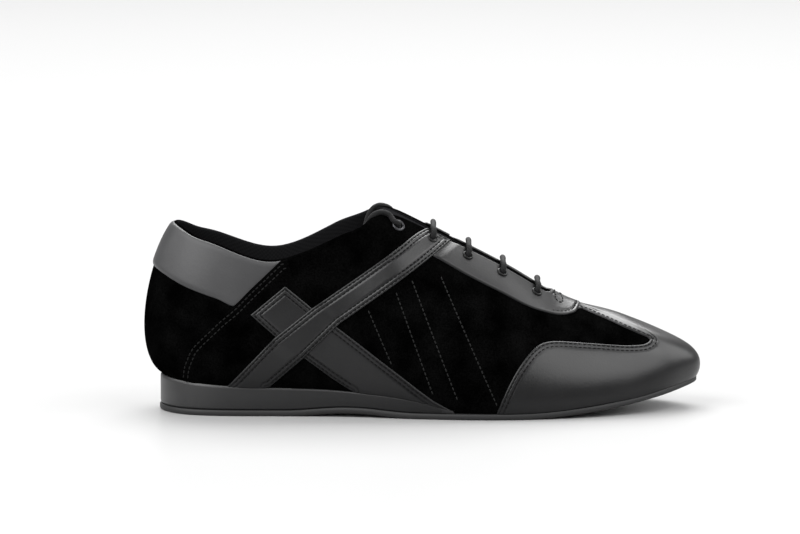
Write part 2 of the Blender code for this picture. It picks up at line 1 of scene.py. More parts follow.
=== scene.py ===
"""Looks of a low lace-up dance sneaker for the right foot.

Shapes are worked out in millimetres in the shoe's own frame: x forward from the back of the heel, y to the
inner side of the foot and z up from the floor. Each mesh is moved to the frame's origin and scaled to metres
as it is made.
"""
import math

import bmesh
import bpy
import numpy as np
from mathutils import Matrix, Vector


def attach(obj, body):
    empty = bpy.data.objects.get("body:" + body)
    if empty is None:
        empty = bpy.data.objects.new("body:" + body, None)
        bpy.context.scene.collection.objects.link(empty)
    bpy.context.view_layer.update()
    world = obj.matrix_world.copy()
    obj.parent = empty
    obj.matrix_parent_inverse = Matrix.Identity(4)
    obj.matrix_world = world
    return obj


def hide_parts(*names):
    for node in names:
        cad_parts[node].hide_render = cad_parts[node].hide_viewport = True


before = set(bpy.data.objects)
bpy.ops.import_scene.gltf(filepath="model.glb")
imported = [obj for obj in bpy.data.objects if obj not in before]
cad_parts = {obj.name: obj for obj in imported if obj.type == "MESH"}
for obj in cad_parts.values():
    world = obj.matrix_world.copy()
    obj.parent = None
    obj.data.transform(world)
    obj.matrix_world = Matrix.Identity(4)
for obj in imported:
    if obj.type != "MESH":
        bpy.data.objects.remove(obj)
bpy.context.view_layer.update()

# Camera. It looks square at the outer side of the shoe, from a little above, through a long lens.
IMAGE_WIDTH = 800
PIXELS_PER_MM = 1.91
SENSOR_MM = 36.0
CAMERA_AWAY = 4.0
CAMERA_FAR = 200.0
CAMERA_RISE = math.radians(7.2)
CAMERA_AIM = (-0.0119, -0.0001, 0.0742)

camera = bpy.data.objects.new("camera", bpy.data.cameras.new("camera"))
bpy.context.scene.collection.objects.link(camera)
camera.data.sensor_width = SENSOR_MM
camera.data.lens = SENSOR_MM * PIXELS_PER_MM * CAMERA_AWAY * 1000 / IMAGE_WIDTH
camera.data.clip_end = CAMERA_FAR
camera.location = (CAMERA_AIM[0], CAMERA_AIM[1] - CAMERA_AWAY * math.cos(CAMERA_RISE),
                   CAMERA_AIM[2] + CAMERA_AWAY * math.sin(CAMERA_RISE))
camera.rotation_euler = (math.pi / 2 - CAMERA_RISE, 0, 0)
bpy.context.scene.camera = camera

# Stage. A pale table top lit by five soft boxes: a strong one above and behind, two in front and one at each
# side. A white room all round fills the shadows.
FLOOR_HALF = 30.0
# Name, place, aim, side in metres and power in watts of each soft box.
SOFT_BOXES = (
    ("back_box", (0.0, 1.9, 2.6), (0.0, 0.4, 0.05), 2.6, 190.0),
    ("front_left_box", (-1.5, -1.5, 1.7), (0.0, 0.0, 0.05), 2.2, 84.0),
    ("front_right_box", (1.6, -1.4, 1.7), (0.0, 0.0, 0.05), 2.2, 52.0),
    ("right_box", (2.5, 0.4, 1.8), (0.0, 0.0, 0.05), 2.2, 50.0),
    ("left_box", (-2.5, 0.2, 1.6), (0.0, 0.0, 0.05), 1.8, 25.0),
)
ROOM_WHITE = "#ffffff"
ROOM_STRENGTH = 0.35
TABLE_WHITE = "#b0b0b0"


def linear(colour):
    """A linear RGBA colour from an sRGB hex value."""
    parts = np.array([int(colour[k:k + 2], 16) / 255 for k in (1, 3, 5)])
    parts = np.where(parts <= 0.04045, parts / 12.92, ((parts + 0.055) / 1.055) ** 2.4)
    return (*parts.tolist(), 1.0)


def add_node(tree, kind, inputs=None, **settings):
    """Adds a node, sets its settings, and gives each named input a value or a link from an output socket."""
    node = tree.nodes.new(kind)
    for name, value in settings.items():
        setattr(node, name, value)
    for name, value in (inputs or {}).items():
        if isinstance(value, bpy.types.NodeSocket):
            tree.links.new(value, node.inputs[name])
        else:
            node.inputs[name].default_value = value
    return node


def start_material(name, colour, roughness):
    """A material with its colour and roughness set, and its node tree and shader for what else it needs."""
    material = bpy.data.materials.new(name)
    material.use_nodes = True
    tree = material.node_tree
    shader = tree.nodes["Principled BSDF"]
    shader.inputs["Base Color"].default_value = linear(colour)
    shader.inputs["Roughness"].default_value = roughness
    return material, tree, shader


# White laminate: bright and even, with a faint soft reflection.
laminate, tree, shader = start_material("white_laminate", TABLE_WHITE, 0.28)
shader.inputs["Specular IOR Level"].default_value = 0.25

floor_mesh = bpy.data.meshes.new("floor")
floor_corners = FLOOR_HALF * np.array([(-1, -1, 0), (1, -1, 0), (1, 1, 0), (-1, 1, 0)])
floor_mesh.from_pydata(floor_corners.tolist(), [], [(0, 1, 2, 3)])
floor_mesh.materials.append(laminate)
floor = bpy.data.objects.new("floor", floor_mesh)
bpy.context.scene.collection.objects.link(floor)

for name, place, aim, side, power in SOFT_BOXES:
    light = bpy.data.lights.new(name, "AREA")
    light.size = side
    light.energy = power
    lamp = bpy.data.objects.new(name, light)
    lamp.location = place
    lamp.rotation_euler = (Vector(aim) - Vector(place)).to_track_quat("-Z", "Y").to_euler()
    bpy.context.scene.collection.objects.link(lamp)

room = bpy.data.worlds.new("white_room")
room.use_nodes = True
room.node_tree.nodes["Background"].inputs["Color"].default_value = linear(ROOM_WHITE)
room.node_tree.nodes["Background"].inputs["Strength"].default_value = ROOM_STRENGTH
bpy.context.scene.world = room
bpy.context.scene.view_settings.view_transform = "Standard"

# Upper. One suede wall pulled over the last, open at the collar and the throat, with a woven lining inside.
# The wall is a closed ring of sections of the last. Each section is a curve from the sole to the top edge,
# and ahead of the throat a low arch, the crown, joins the two sides over the middle of the foot.
MM = 0.001
MIDDLE = (145.0, 0.57, 0.0)
WALL = 2.2
# One row for each section, from the middle of the heel to the tip of the toe. The foot columns, with outer
# and inner, place the edge at the sole. The top columns, with middle and half, place the top edge. Rise and
# flare are the wall's length and lean where it leaves the sole, drop, dip and heading its length and way at
# the top.
SECTION_COLUMNS = ("foot_x", "outer", "inner", "foot_z", "top_x", "middle", "half", "top_z",
                   "rise", "flare", "drop", "dip", "heading")
SECTIONS = (
    (8.0, 0.0, 0.0, 18.8, 16.5, 0.0, 0.0, 100.0, 22.5, 54.0, 19.4, 46.0, 180.0),
    (12.5, 16.0, 16.0, 18.3, 19.0, 0.0, 11.5, 99.4, 24.0, 40.0, 21.0, 58.0, 150.0),
    (24.0, 27.0, 27.0, 17.2, 28.5, 0.0, 20.5, 98.0, 25.5, 24.0, 23.0, 70.0, 120.0),
    (43.0, 31.5, 31.2, 15.8, 45.0, 0.2, 26.5, 96.5, 25.5, 14.0, 25.0, 79.0, 97.0),
    (68.0, 32.2, 29.8, 14.9, 68.0, 0.6, 29.0, 97.0, 25.0, 11.0, 26.0, 82.0, 90.0),
    (95.0, 34.0, 27.0, 14.3, 91.0, 1.2, 27.0, 101.0, 25.0, 10.0, 27.0, 78.0, 90.0),
    (120.0, 38.2, 28.2, 12.4, 111.0, 1.8, 21.5, 106.0, 26.0, 9.0, 28.0, 64.0, 90.0),
    (142.0, 42.8, 33.7, 9.4, 128.0, 2.3, 15.5, 103.8, 28.0, 8.0, 28.0, 42.0, 90.0),
    (163.0, 46.0, 40.0, 4.4, 147.0, 2.8, 11.8, 95.2, 29.0, 8.0, 28.0, 34.0, 90.0),
    (184.0, 47.0, 45.5, 3.5, 168.0, 3.3, 10.4, 84.4, 28.0, 7.0, 27.0, 31.0, 90.0),
    (204.0, 44.9, 48.0, 3.8, 188.0, 3.8, 9.6, 74.0, 26.0, 7.0, 26.0, 29.0, 90.0),
    (223.0, 40.6, 47.0, 5.3, 206.0, 4.2, 8.8, 63.1, 23.0, 8.0, 24.0, 26.0, 90.0),
    (241.0, 34.4, 44.0, 7.5, 222.0, 4.6, 8.0, 54.2, 20.0, 9.0, 22.0, 21.0, 90.0),
    (258.0, 26.0, 38.8, 9.8, 236.0, 5.0, 6.8, 50.6, 18.0, 11.0, 20.0, 18.0, 84.0),
    (271.5, 17.0, 31.6, 12.8, 247.5, 5.4, 5.2, 47.9, 17.0, 15.0, 20.0, 17.0, 64.0),
    (281.5, 6.4, 22.6, 14.8, 255.0, 5.7, 2.8, 45.15, 16.5, 20.0, 21.0, 19.0, 36.0),
    (288.0, -7.0, 7.0, 16.3, 258.5, 6.0, 0.0, 43.6, 16.5, 25.0, 20.5, 24.0, 0.0),
)
TIP = len(SECTIONS) - 1
ROUND = 2 * TIP
# Side view of the collar, x and z, from the heel tab over the dip at the ankle to the peak at the top eyelet.
TOP_LINE = ((14.0, 98.8), (17.0, 97.4), (20.0, 95.8), (24.2, 93.5), (28.4, 91.9), (33.0, 90.6), (41.4, 87.6),
            (66.0, 80.8), (88.0, 87.5), (96.4, 92.0), (102.7, 95.3), (109.0, 97.8), (115.3, 100.5),
            (118.8, 102.3), (123.5, 103.8), (129.0, 103.2), (140.0, 98.8))
# The outer side is cut a little lower behind the top eyelet: x and depth.
OUTER_DIP = ((80.0, 0.0), (90.0, 0.9), (100.0, 1.9), (109.0, 2.1), (113.5, 1.9), (117.0, 0.9), (120.0, 0.2),
             (123.0, 0.0))
COLLAR_LOWEST = 0.3
PEAK_ROW = 7.2
THROAT_FRONT = 212.0
THROAT_ROUND = 5.0
# Side view of the four rows of stitching across the suede vamp: x and z of the upper, then of the lower end.
VAMP_ROWS = ((116.5, 56.3, 128.9, 27.7), (131.0, 65.7, 150.7, 11.4),
             (139.3, 71.6, 163.2, 9.6), (154.4, 73.0, 183.9, 6.6))
VAMP_ROW_DEEP = 0.5
VAMP_ROW_WIDE = 1.3
VAMP_ROW_FADE = 4.0
FEATHER_DEEP = 0.45
FEATHER_HIGH = 1.8
UPPER_COLUMNS = 640
UPPER_ROWS = 96
RIM_ROWS = 8
LINING_ROWS = 26
CROWN_SHARE = 0.15
CROWN_STEPS = 40
CROWN_LIMITS = (-0.2, 1.0)
NUDGE = 0.01
HALVINGS = 40
MERGE_M = 3e-6
SLIVER_M = 1e-6
SHARP_EDGE = 50
SOFT_EDGE = 80


def ring_rows():
    """The section columns all the way round: outer side from heel to toe, then inner side back again."""
    column = dict(zip(SECTION_COLUMNS, np.transpose(SECTIONS)))
    heading = np.radians(column.pop("heading"))
    outer, inner = column.pop("outer"), column.pop("inner")
    pairs = {name: (values, values) for name, values in column.items()}
    pairs["face_x"] = (np.cos(heading), np.cos(heading))
    pairs["face_y"] = (-np.sin(heading), np.sin(heading))
    pairs["foot_y"] = (-outer, inner)
    pairs["top_y"] = (column["middle"] - column["half"], column["middle"] + column["half"])
    rows = [np.concatenate([out, back[TIP - 1:0:-1]]) for out, back in pairs.values()]
    return tuple(pairs), np.stack(rows, axis=1)


RING_NAMES, RING = ring_rows()
unit = np.eye(ROUND)
RING_BENDS = np.linalg.solve(4 * unit + np.roll(unit, 1, axis=0) + np.roll(unit, -1, axis=0),
                             6 * (np.roll(RING, 1, axis=0) - 2 * RING + np.roll(RING, -1, axis=0)))


def section(u):
    """Every section column at place u round the ring, read from the closed cubic spline through the rows."""
    u = np.asarray(u, dtype=float)
    low = np.floor(u).astype(int)
    after = (u - low)[..., None]
    before = 1 - after
    first, second = low % ROUND, (low + 1) % ROUND
    values = (before * RING[first] + after * RING[second]
              + ((before ** 3 - before) * RING_BENDS[first] + (after ** 3 - after) * RING_BENDS[second]) / 6)
    return {name: values[..., k] for k, name in enumerate(RING_NAMES)}


def crown_slopes():
    """Slope of the crown where it leaves the top edge, at even places round the ring. It lies in the plane of
    the edge's run and the wall's own dip, so that no crease shows there, and is the mean of the two sides."""
    u = np.linspace(0, ROUND, CROWN_STEPS * ROUND + 1)
    c, ahead, behind = section(u), section(u + NUDGE), section(u - NUDGE)
    run_x, run_y, run_z = (ahead[name] - behind[name] for name in ("top_x", "top_y", "top_z"))
    fall = np.tan(np.radians(c["dip"])) * np.hypot(c["face_x"], c["face_y"])
    level = run_x * c["face_y"] - run_y * c["face_x"]
    slope = np.where(u < TIP, 1, -1) * (-run_x * fall - run_z * c["face_x"]) / level
    return u, np.clip((slope + slope[::-1]) / 2, *CROWN_LIMITS)


CROWN_PLACES, CROWN_SLOPES = crown_slopes()


def foot_normal(u):
    """Outward direction of the sole's outline in plan: its run turned by a quarter."""
    ahead, behind = section(u + NUDGE), section(u - NUDGE)
    run_x, run_y = ahead["foot_x"] - behind["foot_x"], ahead["foot_y"] - behind["foot_y"]
    size = np.hypot(run_x, run_y)
    return run_y / size, -run_x / size


def last(u, t):
    """The outer face of the wall. From t 0 at the sole to t 1 at the top edge it is a cubic curve that leaves
    the sole along its flare and reaches the top along its dip. From 1 to 2 a parabola, the crown, rises to
    the middle line."""
    u, t = np.broadcast_arrays(np.asarray(u, dtype=float), np.asarray(t, dtype=float))
    c = section(u)
    out_x, out_y = foot_normal(u)
    flare, dip = np.radians(c["flare"]), np.radians(c["dip"])
    level = np.cos(dip) / np.hypot(c["face_x"], c["face_y"])
    foot = np.stack([c["foot_x"], c["foot_y"], c["foot_z"]], axis=-1)
    top = np.stack([c["top_x"], c["top_y"], c["top_z"]], axis=-1)
    lean = np.stack([np.sin(flare) * out_x, np.sin(flare) * out_y, np.cos(flare)], axis=-1)
    fall = np.stack([level * c["face_x"], level * c["face_y"], -np.sin(dip)], axis=-1)
    a = np.clip(t, 0, 1)[..., None]
    b = 1 - a
    wall = (b ** 3 * foot + 3 * b ** 2 * a * (foot + c["rise"][..., None] * lean)
            + 3 * b * a ** 2 * (top + c["drop"][..., None] * fall) + a ** 3 * top)
    over = np.clip(t - 1, 0, 1)
    wall[..., 1] += over * (c["middle"] - c["top_y"])
    slope = np.interp(u % ROUND, CROWN_PLACES, CROWN_SLOPES)
    wall[..., 2] += c["half"] * slope / 2 * (1 - (1 - over) ** 2)
    return wall


def unit_vectors(vectors):
    """The same directions, each one unit long."""
    return vectors / np.maximum(np.linalg.norm(vectors, axis=-1, keepdims=True), 1e-9)


def last_normal(u, t):
    """Outward normal of the wall: the run along the ring crossed with the run up the section. Where the two
    sides meet there is no crown, and on the middle line they share one normal."""
    step = 0.004
    no_crown = 0.05
    u, t = np.broadcast_arrays(np.asarray(u, dtype=float), np.asarray(t, dtype=float))
    t = np.where(section(u)["half"] < no_crown, np.minimum(t, 1 - step), t)
    up = last(u, np.clip(t + step, 0, 2)) - last(u, np.clip(t - step, 0, 2))
    normal = np.cross(last(u + step, t) - last(u - step, t), up)
    normal[..., 1] = np.where(t > 2 - step, 0.0, normal[..., 1])
    return unit_vectors(normal)


def side_line(table, smooth=True):
    """Height as a function of x: a natural cubic spline through a table's rows, or straight lines."""
    knots, heights = np.transpose(table)
    if not smooth:
        return lambda x: np.interp(x, knots, heights)
    steps = np.diff(knots)
    slopes = np.diff(heights) / steps
    count = len(knots)
    system = np.eye(count)
    inside = np.arange(1, count - 1)
    system[inside, inside - 1] = steps[:-1]
    system[inside, inside] = 2 * (steps[:-1] + steps[1:])
    system[inside, inside + 1] = steps[1:]
    bends = np.linalg.solve(system, np.concatenate([[0.0], 6 * np.diff(slopes), [0.0]]))

    def height(x):
        x = np.clip(x, knots[0], knots[-1])
        k = np.clip(np.searchsorted(knots, x) - 1, 0, count - 2)
        after = (x - knots[k]) / steps[k]
        before = 1 - after
        curve = (before ** 3 - before) * bends[k] + (after ** 3 - after) * bends[k + 1]
        return before * heights[k] + after * heights[k + 1] + steps[k] ** 2 * curve / 6

    return height


def cut(u, height, low, high):
    """The t between low and high where each section passes a side view's height, found by halving."""
    low, high = np.broadcast_to(low, u.shape), np.broadcast_to(high, u.shape)
    ceiling = high
    for _ in range(HALVINGS):
        mid = (low + high) / 2
        point = last(u, mid)
        under = point[..., 2] < height(point[..., 0])
        low, high = np.where(under, mid, low), np.where(under, high, mid)
    return np.where(ceiling - high < 1e-9, ceiling, high)


def top_edge(u):
    """The t where the wall ends: the collar's side view, the edge of the throat, or the middle line."""
    u = np.asarray(u, dtype=float) % ROUND
    place = np.where(u > TIP, ROUND - u, u)
    inner_line, dip = side_line(TOP_LINE), side_line(OUTER_DIP, False)
    inner = cut(u, inner_line, COLLAR_LOWEST, 1.0)
    outer = cut(u, lambda x: inner_line(x) - dip(x), COLLAR_LOWEST, 1.0)
    collar = np.where(place < PEAK_ROW, np.where(u > TIP, inner, outer), 1.0)
    top_x = section(u)["top_x"]
    turn = np.clip((top_x - THROAT_FRONT) / THROAT_ROUND + 1, 0, 1)
    return np.where(turn > 0, 2 - np.sqrt(1 - turn ** 2), collar)


def grid_quads(columns, rows):
    """Corner numbers of the quads between neighbouring columns and rows of a grid stored column by column."""
    number = np.arange(columns * rows).reshape(columns, rows)
    corners = (number[:-1, :-1], number[1:, :-1], number[1:, 1:], number[:-1, 1:])
    return np.stack(corners, axis=-1).reshape(-1, 4)


def make_piece(name, points, faces, materials, face_material=None, uv=None, groove=None,
               sharp=SHARP_EDGE):
    """A finished mesh from millimetre points, with doubles merged, that rides on the shoe. Its UV map is in
    millimetres, and its groove attribute is 1 in the middle of a row of stitches."""
    mesh = bpy.data.meshes.new(name)
    mesh.from_pydata(((np.reshape(points, (-1, 3)) - MIDDLE) * MM).tolist(), [], np.asarray(faces).tolist())
    for material in materials:
        mesh.materials.append(material)
    if face_material is not None:
        mesh.polygons.foreach_set("material_index", np.asarray(face_material, dtype=np.int32))
    if uv is not None:
        corner = np.empty(len(mesh.loops), dtype=np.int32)
        mesh.loops.foreach_get("vertex_index", corner)
        layer = mesh.uv_layers.new(name="millimetres")
        layer.data.foreach_set("uv", np.reshape(uv, (-1, 2))[corner].astype(np.float32).ravel())
    if groove is not None:
        layer = mesh.attributes.new("groove", "FLOAT", "POINT")
        layer.data.foreach_set("value", groove.astype(np.float32).ravel())
    shape = bmesh.new()
    shape.from_mesh(mesh)
    bmesh.ops.remove_doubles(shape, verts=shape.verts, dist=MERGE_M)
    bmesh.ops.dissolve_degenerate(shape, edges=shape.edges, dist=SLIVER_M)
    shape.to_mesh(mesh)
    shape.free()
    mesh.shade_smooth()
    mesh.set_sharp_from_angle(angle=math.radians(sharp))
    piece = bpy.data.objects.new(name, mesh)
    bpy.context.scene.collection.objects.link(piece)
    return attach(piece, "root")


def vamp_troughs(points):
    """How deep the vamp's stitch rows pull the suede in: a bell curve across each row, soft at both ends."""
    x, z = points[..., 0], points[..., 2]
    deep = np.zeros(x.shape)
    for top_x, top_z, low_x, low_z in VAMP_ROWS:
        run = np.array([low_x - top_x, low_z - top_z])
        length = np.hypot(*run)
        along = ((x - top_x) * run[0] + (z - top_z) * run[1]) / length
        across = ((x - top_x) * run[1] - (z - top_z) * run[0]) / length
        back = np.clip(along / VAMP_ROW_FADE + 0.5, 0, 1)
        ends = back * np.clip((length - along) / VAMP_ROW_FADE + 0.5, 0, 1)
        deep += VAMP_ROW_DEEP * ends * np.exp(-(across / VAMP_ROW_WIDE) ** 2)
    return deep


def feather(points, u):
    """How far the wall tucks in just above the sole: a depth that dies away upwards."""
    return FEATHER_DEEP * np.exp(-np.clip(points[..., 2] - section(u)["foot_z"], 0, None) / FEATHER_HIGH)


def along_line(points):
    """Distance run along a line of points, from 0 at its first point."""
    return np.concatenate([[0.0], np.cumsum(np.linalg.norm(np.diff(points, axis=0), axis=1))])


def upper_wall():
    """The wall's section as one strip: up the outer face, over a half round rim and down the lining."""
    u = np.linspace(0, ROUND, UPPER_COLUMNS + 1)
    top = top_edge(u)
    share = np.linspace(0, 1, UPPER_ROWS + 1)
    wall_share = (1 - CROWN_SHARE * np.clip(top - 1, 0, 1))[:, None]
    crown = (share - wall_share) / np.maximum(1 - wall_share, 1e-9)
    t = np.where(share <= wall_share, np.minimum(top, 1)[:, None] * share / wall_share,
                 1 + (top - 1)[:, None] * crown)
    spot = u[:, None] + 0 * t
    face, normal = last(spot, t), last_normal(spot, t)
    edge, edge_normal = face[:, -1], normal[:, -1]
    run = unit_vectors(np.roll(edge[:-1], -1, axis=0) - np.roll(edge[:-1], 1, axis=0))
    run = np.concatenate([run, run[:1]])
    out = unit_vectors(np.cross(edge_normal, run))
    turn = np.linspace(0, math.pi, RIM_ROWS + 2)[1:-1]
    centre = edge - WALL / 2 * edge_normal
    rim = (centre[:, None] + WALL / 2 * (np.cos(turn)[:, None] * edge_normal[:, None]
                                         + np.sin(turn)[:, None] * out[:, None]))
    outer = face - (vamp_troughs(face) + feather(face, spot))[..., None] * normal
    keep = np.linspace(UPPER_ROWS, 0, LINING_ROWS + 1).round().astype(int)
    inner = (face - WALL * normal)[:, keep]
    points = np.concatenate([outer, rim, inner], axis=1)
    along = along_line(face[:, UPPER_ROWS // 2])
    steps = np.linalg.norm(np.diff(points, axis=1), axis=2)
    down = np.concatenate([np.zeros((len(u), 1)), np.cumsum(steps, axis=1)], axis=1)
    uv = np.stack([np.broadcast_to(along[:, None], down.shape), down], axis=-1)
    rows = points.shape[1]
    quads = grid_quads(len(u), rows)
    row = np.tile(np.arange(rows - 1), len(u) - 1)
    closed = np.repeat((top[:-1] > 2 - 1e-6) & (top[1:] > 2 - 1e-6), rows - 1)
    rim_row = (row >= UPPER_ROWS) & (row < UPPER_ROWS + RIM_ROWS + 1)
    kept = ~(closed & rim_row)
    foot = np.arange(len(u)) * rows
    inside = foot + rows - 1
    under = np.stack([foot[1:], foot[:-1], inside[:-1], inside[1:]], axis=-1)
    faces = np.concatenate([quads[kept], under])
    lining = np.concatenate([(row > UPPER_ROWS + RIM_ROWS // 2)[kept], np.ones(len(under), dtype=bool)])
    return points, faces, lining.astype(int), uv


# Split suede: brushed fibres swallow nearly all the light, lighter where the nap was stroked the other way.
SUEDE_DARK = "#010101"
SUEDE_STROKED = "#080808"
NAP_PATCH_MM = 14.0
NAP_FIBRE_MM = 0.7
suede, tree, shader = start_material("black_split_suede", SUEDE_DARK, 0.95)
shader.inputs["Specular IOR Level"].default_value = 0.0
place = add_node(tree, "ShaderNodeTexCoord").outputs["Object"]
patch = add_node(tree, "ShaderNodeTexNoise",
                 {"Vector": place, "Scale": 1 / (NAP_PATCH_MM * MM), "Detail": 3.0})
fibre = add_node(tree, "ShaderNodeTexNoise",
                 {"Vector": place, "Scale": 1 / (NAP_FIBRE_MM * MM), "Detail": 4.0})
blend = add_node(tree, "ShaderNodeMath", {0: patch.outputs["Fac"], 1: fibre.outputs["Fac"]},
                 operation="MULTIPLY")
tone = add_node(tree, "ShaderNodeValToRGB", {"Fac": blend.outputs[0]})
tone.color_ramp.elements[0].position = 0.16
tone.color_ramp.elements[0].color = linear(SUEDE_DARK)
tone.color_ramp.elements[1].position = 0.42
tone.color_ramp.elements[1].color = linear(SUEDE_STROKED)
nap = add_node(tree, "ShaderNodeBump",
               {"Height": fibre.outputs["Fac"], "Strength": 0.6, "Distance": 0.25 * MM})
tree.links.new(tone.outputs["Color"], shader.inputs["Base Color"])
tree.links.new(nap.outputs["Normal"], shader.inputs["Normal"])

# Woven polyester lining: a fine plain weave, drawn a little coarser than real so that it shows.
LINING_BLACK = "#161617"
LINING_GREY = "#1b1b1c"
LINING_THREAD_MM = 1.1
lining_cloth, tree, shader = start_material("woven_lining", LINING_BLACK, 0.9)
shader.inputs["Specular IOR Level"].default_value = 0.0
place = add_node(tree, "ShaderNodeUVMap", uv_map="millimetres").outputs["UV"]
thread = add_node(tree, "ShaderNodeMapping", {"Vector": place, "Scale": (1 / LINING_THREAD_MM,) * 3})
check = add_node(tree, "ShaderNodeTexChecker",
                 {"Vector": thread.outputs["Vector"], "Scale": 1.0, "Color1": linear(LINING_BLACK),
                  "Color2": linear(LINING_GREY)})
weave = add_node(tree, "ShaderNodeBump",
                 {"Height": check.outputs["Fac"], "Strength": 0.5, "Distance": 0.2 * MM})
tree.links.new(check.outputs["Color"], shader.inputs["Base Color"])
tree.links.new(weave.outputs["Normal"], shader.inputs["Normal"])

points, faces, lined, uv = upper_wall()
upper = make_piece("suede_upper", points, faces, (suede, lining_cloth), lined, uv)
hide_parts("upper")

# Heel collar. Soft leather folded over the top of the heel and sewn down to the suede heel counter.
# It is tallest at the back tab and is cut away in front along the rear seam.
COLLAR_EDGE = ((0.0, 78.4), (2.0, 77.2), (8.0, 74.0), (12.6, 71.6), (20.6, 67.7), (28.2, 64.8), (34.8, 62.6),
               (39.5, 60.9), (44.0, 58.6), (47.0, 57.8), (50.0, 59.4), (54.0, 63.3), (58.5, 67.9),
               (63.2, 72.4), (74.0, 83.0))
COLLAR_START_T = 0.2
COLLAR_END = 4.25
COLLAR_FOLD = 3.0
COLLAR_COLUMNS = 340
COLLAR_ROWS = 40
LEATHER = 1.2
FOLD = 1.2
TROUGH_DEEP = 0.38
TROUGH_WIDE = 0.55
SEATED = 0.03
SLIDE_STEPS = 4
ROW_SLACK = 0.12
ROW_LOWEST = 0.03
ROW_HIGHEST = 1.995
# Sizes of the leather's grain, and how much of its shine is left in a groove and beside the sole: both cuts
# to the shine are painted shade.
CLOUD_MM = 22.0
GRAIN_MM = 1.1
PORE_MM = 0.45
GLOSS_SPREAD = 0.05
GROOVE_SHADE_SHARE = 0.55
SOLE_SHADE_SHARE = 0.6
SHADE_FULL_BELOW = 12.0


def distance_to(points, line):
    """Distance from each point to a line: its nearest point, then the two stretches that meet there."""
    flat = points.reshape(-1, 3)
    apart = (line ** 2).sum(axis=1) - 2 * flat @ line.T
    near = apart.argmin(axis=1)
    best = np.full(len(flat), np.inf)
    for shift in (-1, 0):
        first = np.clip(near + shift, 0, len(line) - 2)
        run = line[first + 1] - line[first]
        from_first = flat - line[first]
        share = (from_first * run).sum(axis=1) / np.maximum((run ** 2).sum(axis=1), 1e-12)
        best = np.minimum(best, np.linalg.norm(from_first - np.clip(share, 0, 1)[:, None] * run, axis=1))
    return best.reshape(points.shape[:-1])


def wall_runs(u, t):
    """How the wall's points move with u and with t: small differences divided by their steps."""
    step = 0.002
    t_low, t_high = np.clip(t - step, 0, 2), np.clip(t + step, 0, 2)
    by_u = (last(u + step, t) - last(u - step, t)) / (2 * step)
    return by_u, (last(u, t_high) - last(u, t_low)) / (t_high - t_low)[..., None]


def slide(u, t, goal):
    """Moves places on the wall next to their goals: Newton steps in the wall's own two directions."""
    for _ in range(SLIDE_STEPS):
        by_u, by_t = wall_runs(u, t)
        miss = goal - last(u, t)
        uu, ut, tt = (by_u ** 2).sum(-1), (by_u * by_t).sum(-1), (by_t ** 2).sum(-1)
        mu, mt = (miss * by_u).sum(-1), (miss * by_t).sum(-1)
        size = np.maximum(uu * tt - ut ** 2, 1e-9)
        u = u + (tt * mu - ut * mt) / size
        t = np.clip(t + (uu * mt - ut * mu) / size, 0, 2)
    return u, t


def offset_line(line, up):
    """A line on the wall moved square to itself, upwards where up is positive. Its u grows along it."""
    u, t = line
    here = last(u, t)
    run = unit_vectors(np.gradient(here, axis=0))
    return slide(u, t, here + up * np.cross(last_normal(u, t), run))


def even_line(line, count):
    """The same line on the wall with its points spaced evenly along it."""
    u, t = line
    run = along_line(last(u, t))
    want = np.linspace(0, run[-1], count)
    return np.interp(want, run, u), np.interp(want, run, t)


def inset_rows(line, edges, insets, up):
    """Stitch lines at distances inside a folded edge, cut short where another edge comes nearer."""
    rows = []
    for inset in insets:
        u, t = offset_line(line, inset if up else -inset)
        away = np.min([distance_to(last(u, t), last(*edge)) for edge in edges], axis=0)
        clear = (away > inset - ROW_SLACK) & (t > ROW_LOWEST) & (t < ROW_HIGHEST)
        rows.append((u[clear], t[clear]))
    return rows


def trough(away, rows):
    """How far inside a trough a place is, from 0 to 1: a bell curve across each row of stitches."""
    return sum((np.exp(-((away - row) / TROUGH_WIDE) ** 2) for row in rows), np.zeros(np.shape(away)))


def folded(away, fold):
    """Height of leather a distance in from its folded edge: a quarter round, then level."""
    return SEATED + LEATHER * np.sqrt(1 - (1 - np.clip(away / fold, 0, 1)) ** 2)


def closed_sheet(top, bottom, quads):
    """Points and faces of a sheet: quads over the top points, the same below, and a wall along open edges."""
    count = len(top)
    _, first, number = np.unique(np.round(top, 4), axis=0, return_index=True, return_inverse=True)
    joined = first[number.ravel()][quads]
    start, end = joined.ravel(), np.roll(joined, -1, axis=1).ravel()
    start, end = start[start != end], end[start != end]
    alone = ~np.isin(start * count + end, end * count + start)
    start, end = start[alone], end[alone]
    wall = np.stack([start, start + count, end + count, end], axis=-1)
    return np.concatenate([top, bottom]), np.concatenate([quads, quads[:, ::-1] + count, wall])


def panel_grid(u, low, high, rows):
    """Places on the wall between two lines. The rows crowd towards both lines."""
    share = (1 - np.cos(np.linspace(0, math.pi, rows + 1))) / 2
    t = low[:, None] + np.maximum(high - low, 0)[:, None] * share
    return u[:, None] + 0 * t, t


def leather_panel(name, grids, edges, insets, material, fold=FOLD, lift=None, sewn_from=0.0):
    """A leather piece over one or more grids of places on the wall, with its free edges folded under."""
    tops, bottoms, quads, groove, start = [], [], [], [], 0
    for u, t in grids:
        base, normal = last(u, t), last_normal(u, t)
        away = np.min([distance_to(base, last(*edge)) for edge in edges], axis=0)
        sunk = trough(away, insets) * np.clip(base[..., 0] - sewn_from, 0, 1)
        raised = (0 if lift is None else lift(base)) - feather(base, u)
        high = folded(away, fold) - TROUGH_DEEP * sunk + raised
        tops.append((base + high[..., None] * normal).reshape(-1, 3))
        bottoms.append((base + (SEATED / 2 + raised)[..., None] * normal).reshape(-1, 3))
        quads.append(grid_quads(*u.shape) + start)
        groove.append(sunk.ravel())
        start += u.size
    points, faces = closed_sheet(np.concatenate(tops), np.concatenate(bottoms), np.concatenate(quads))
    piece = make_piece(name, points, faces, (material,), groove=np.concatenate(groove + groove))
    return piece


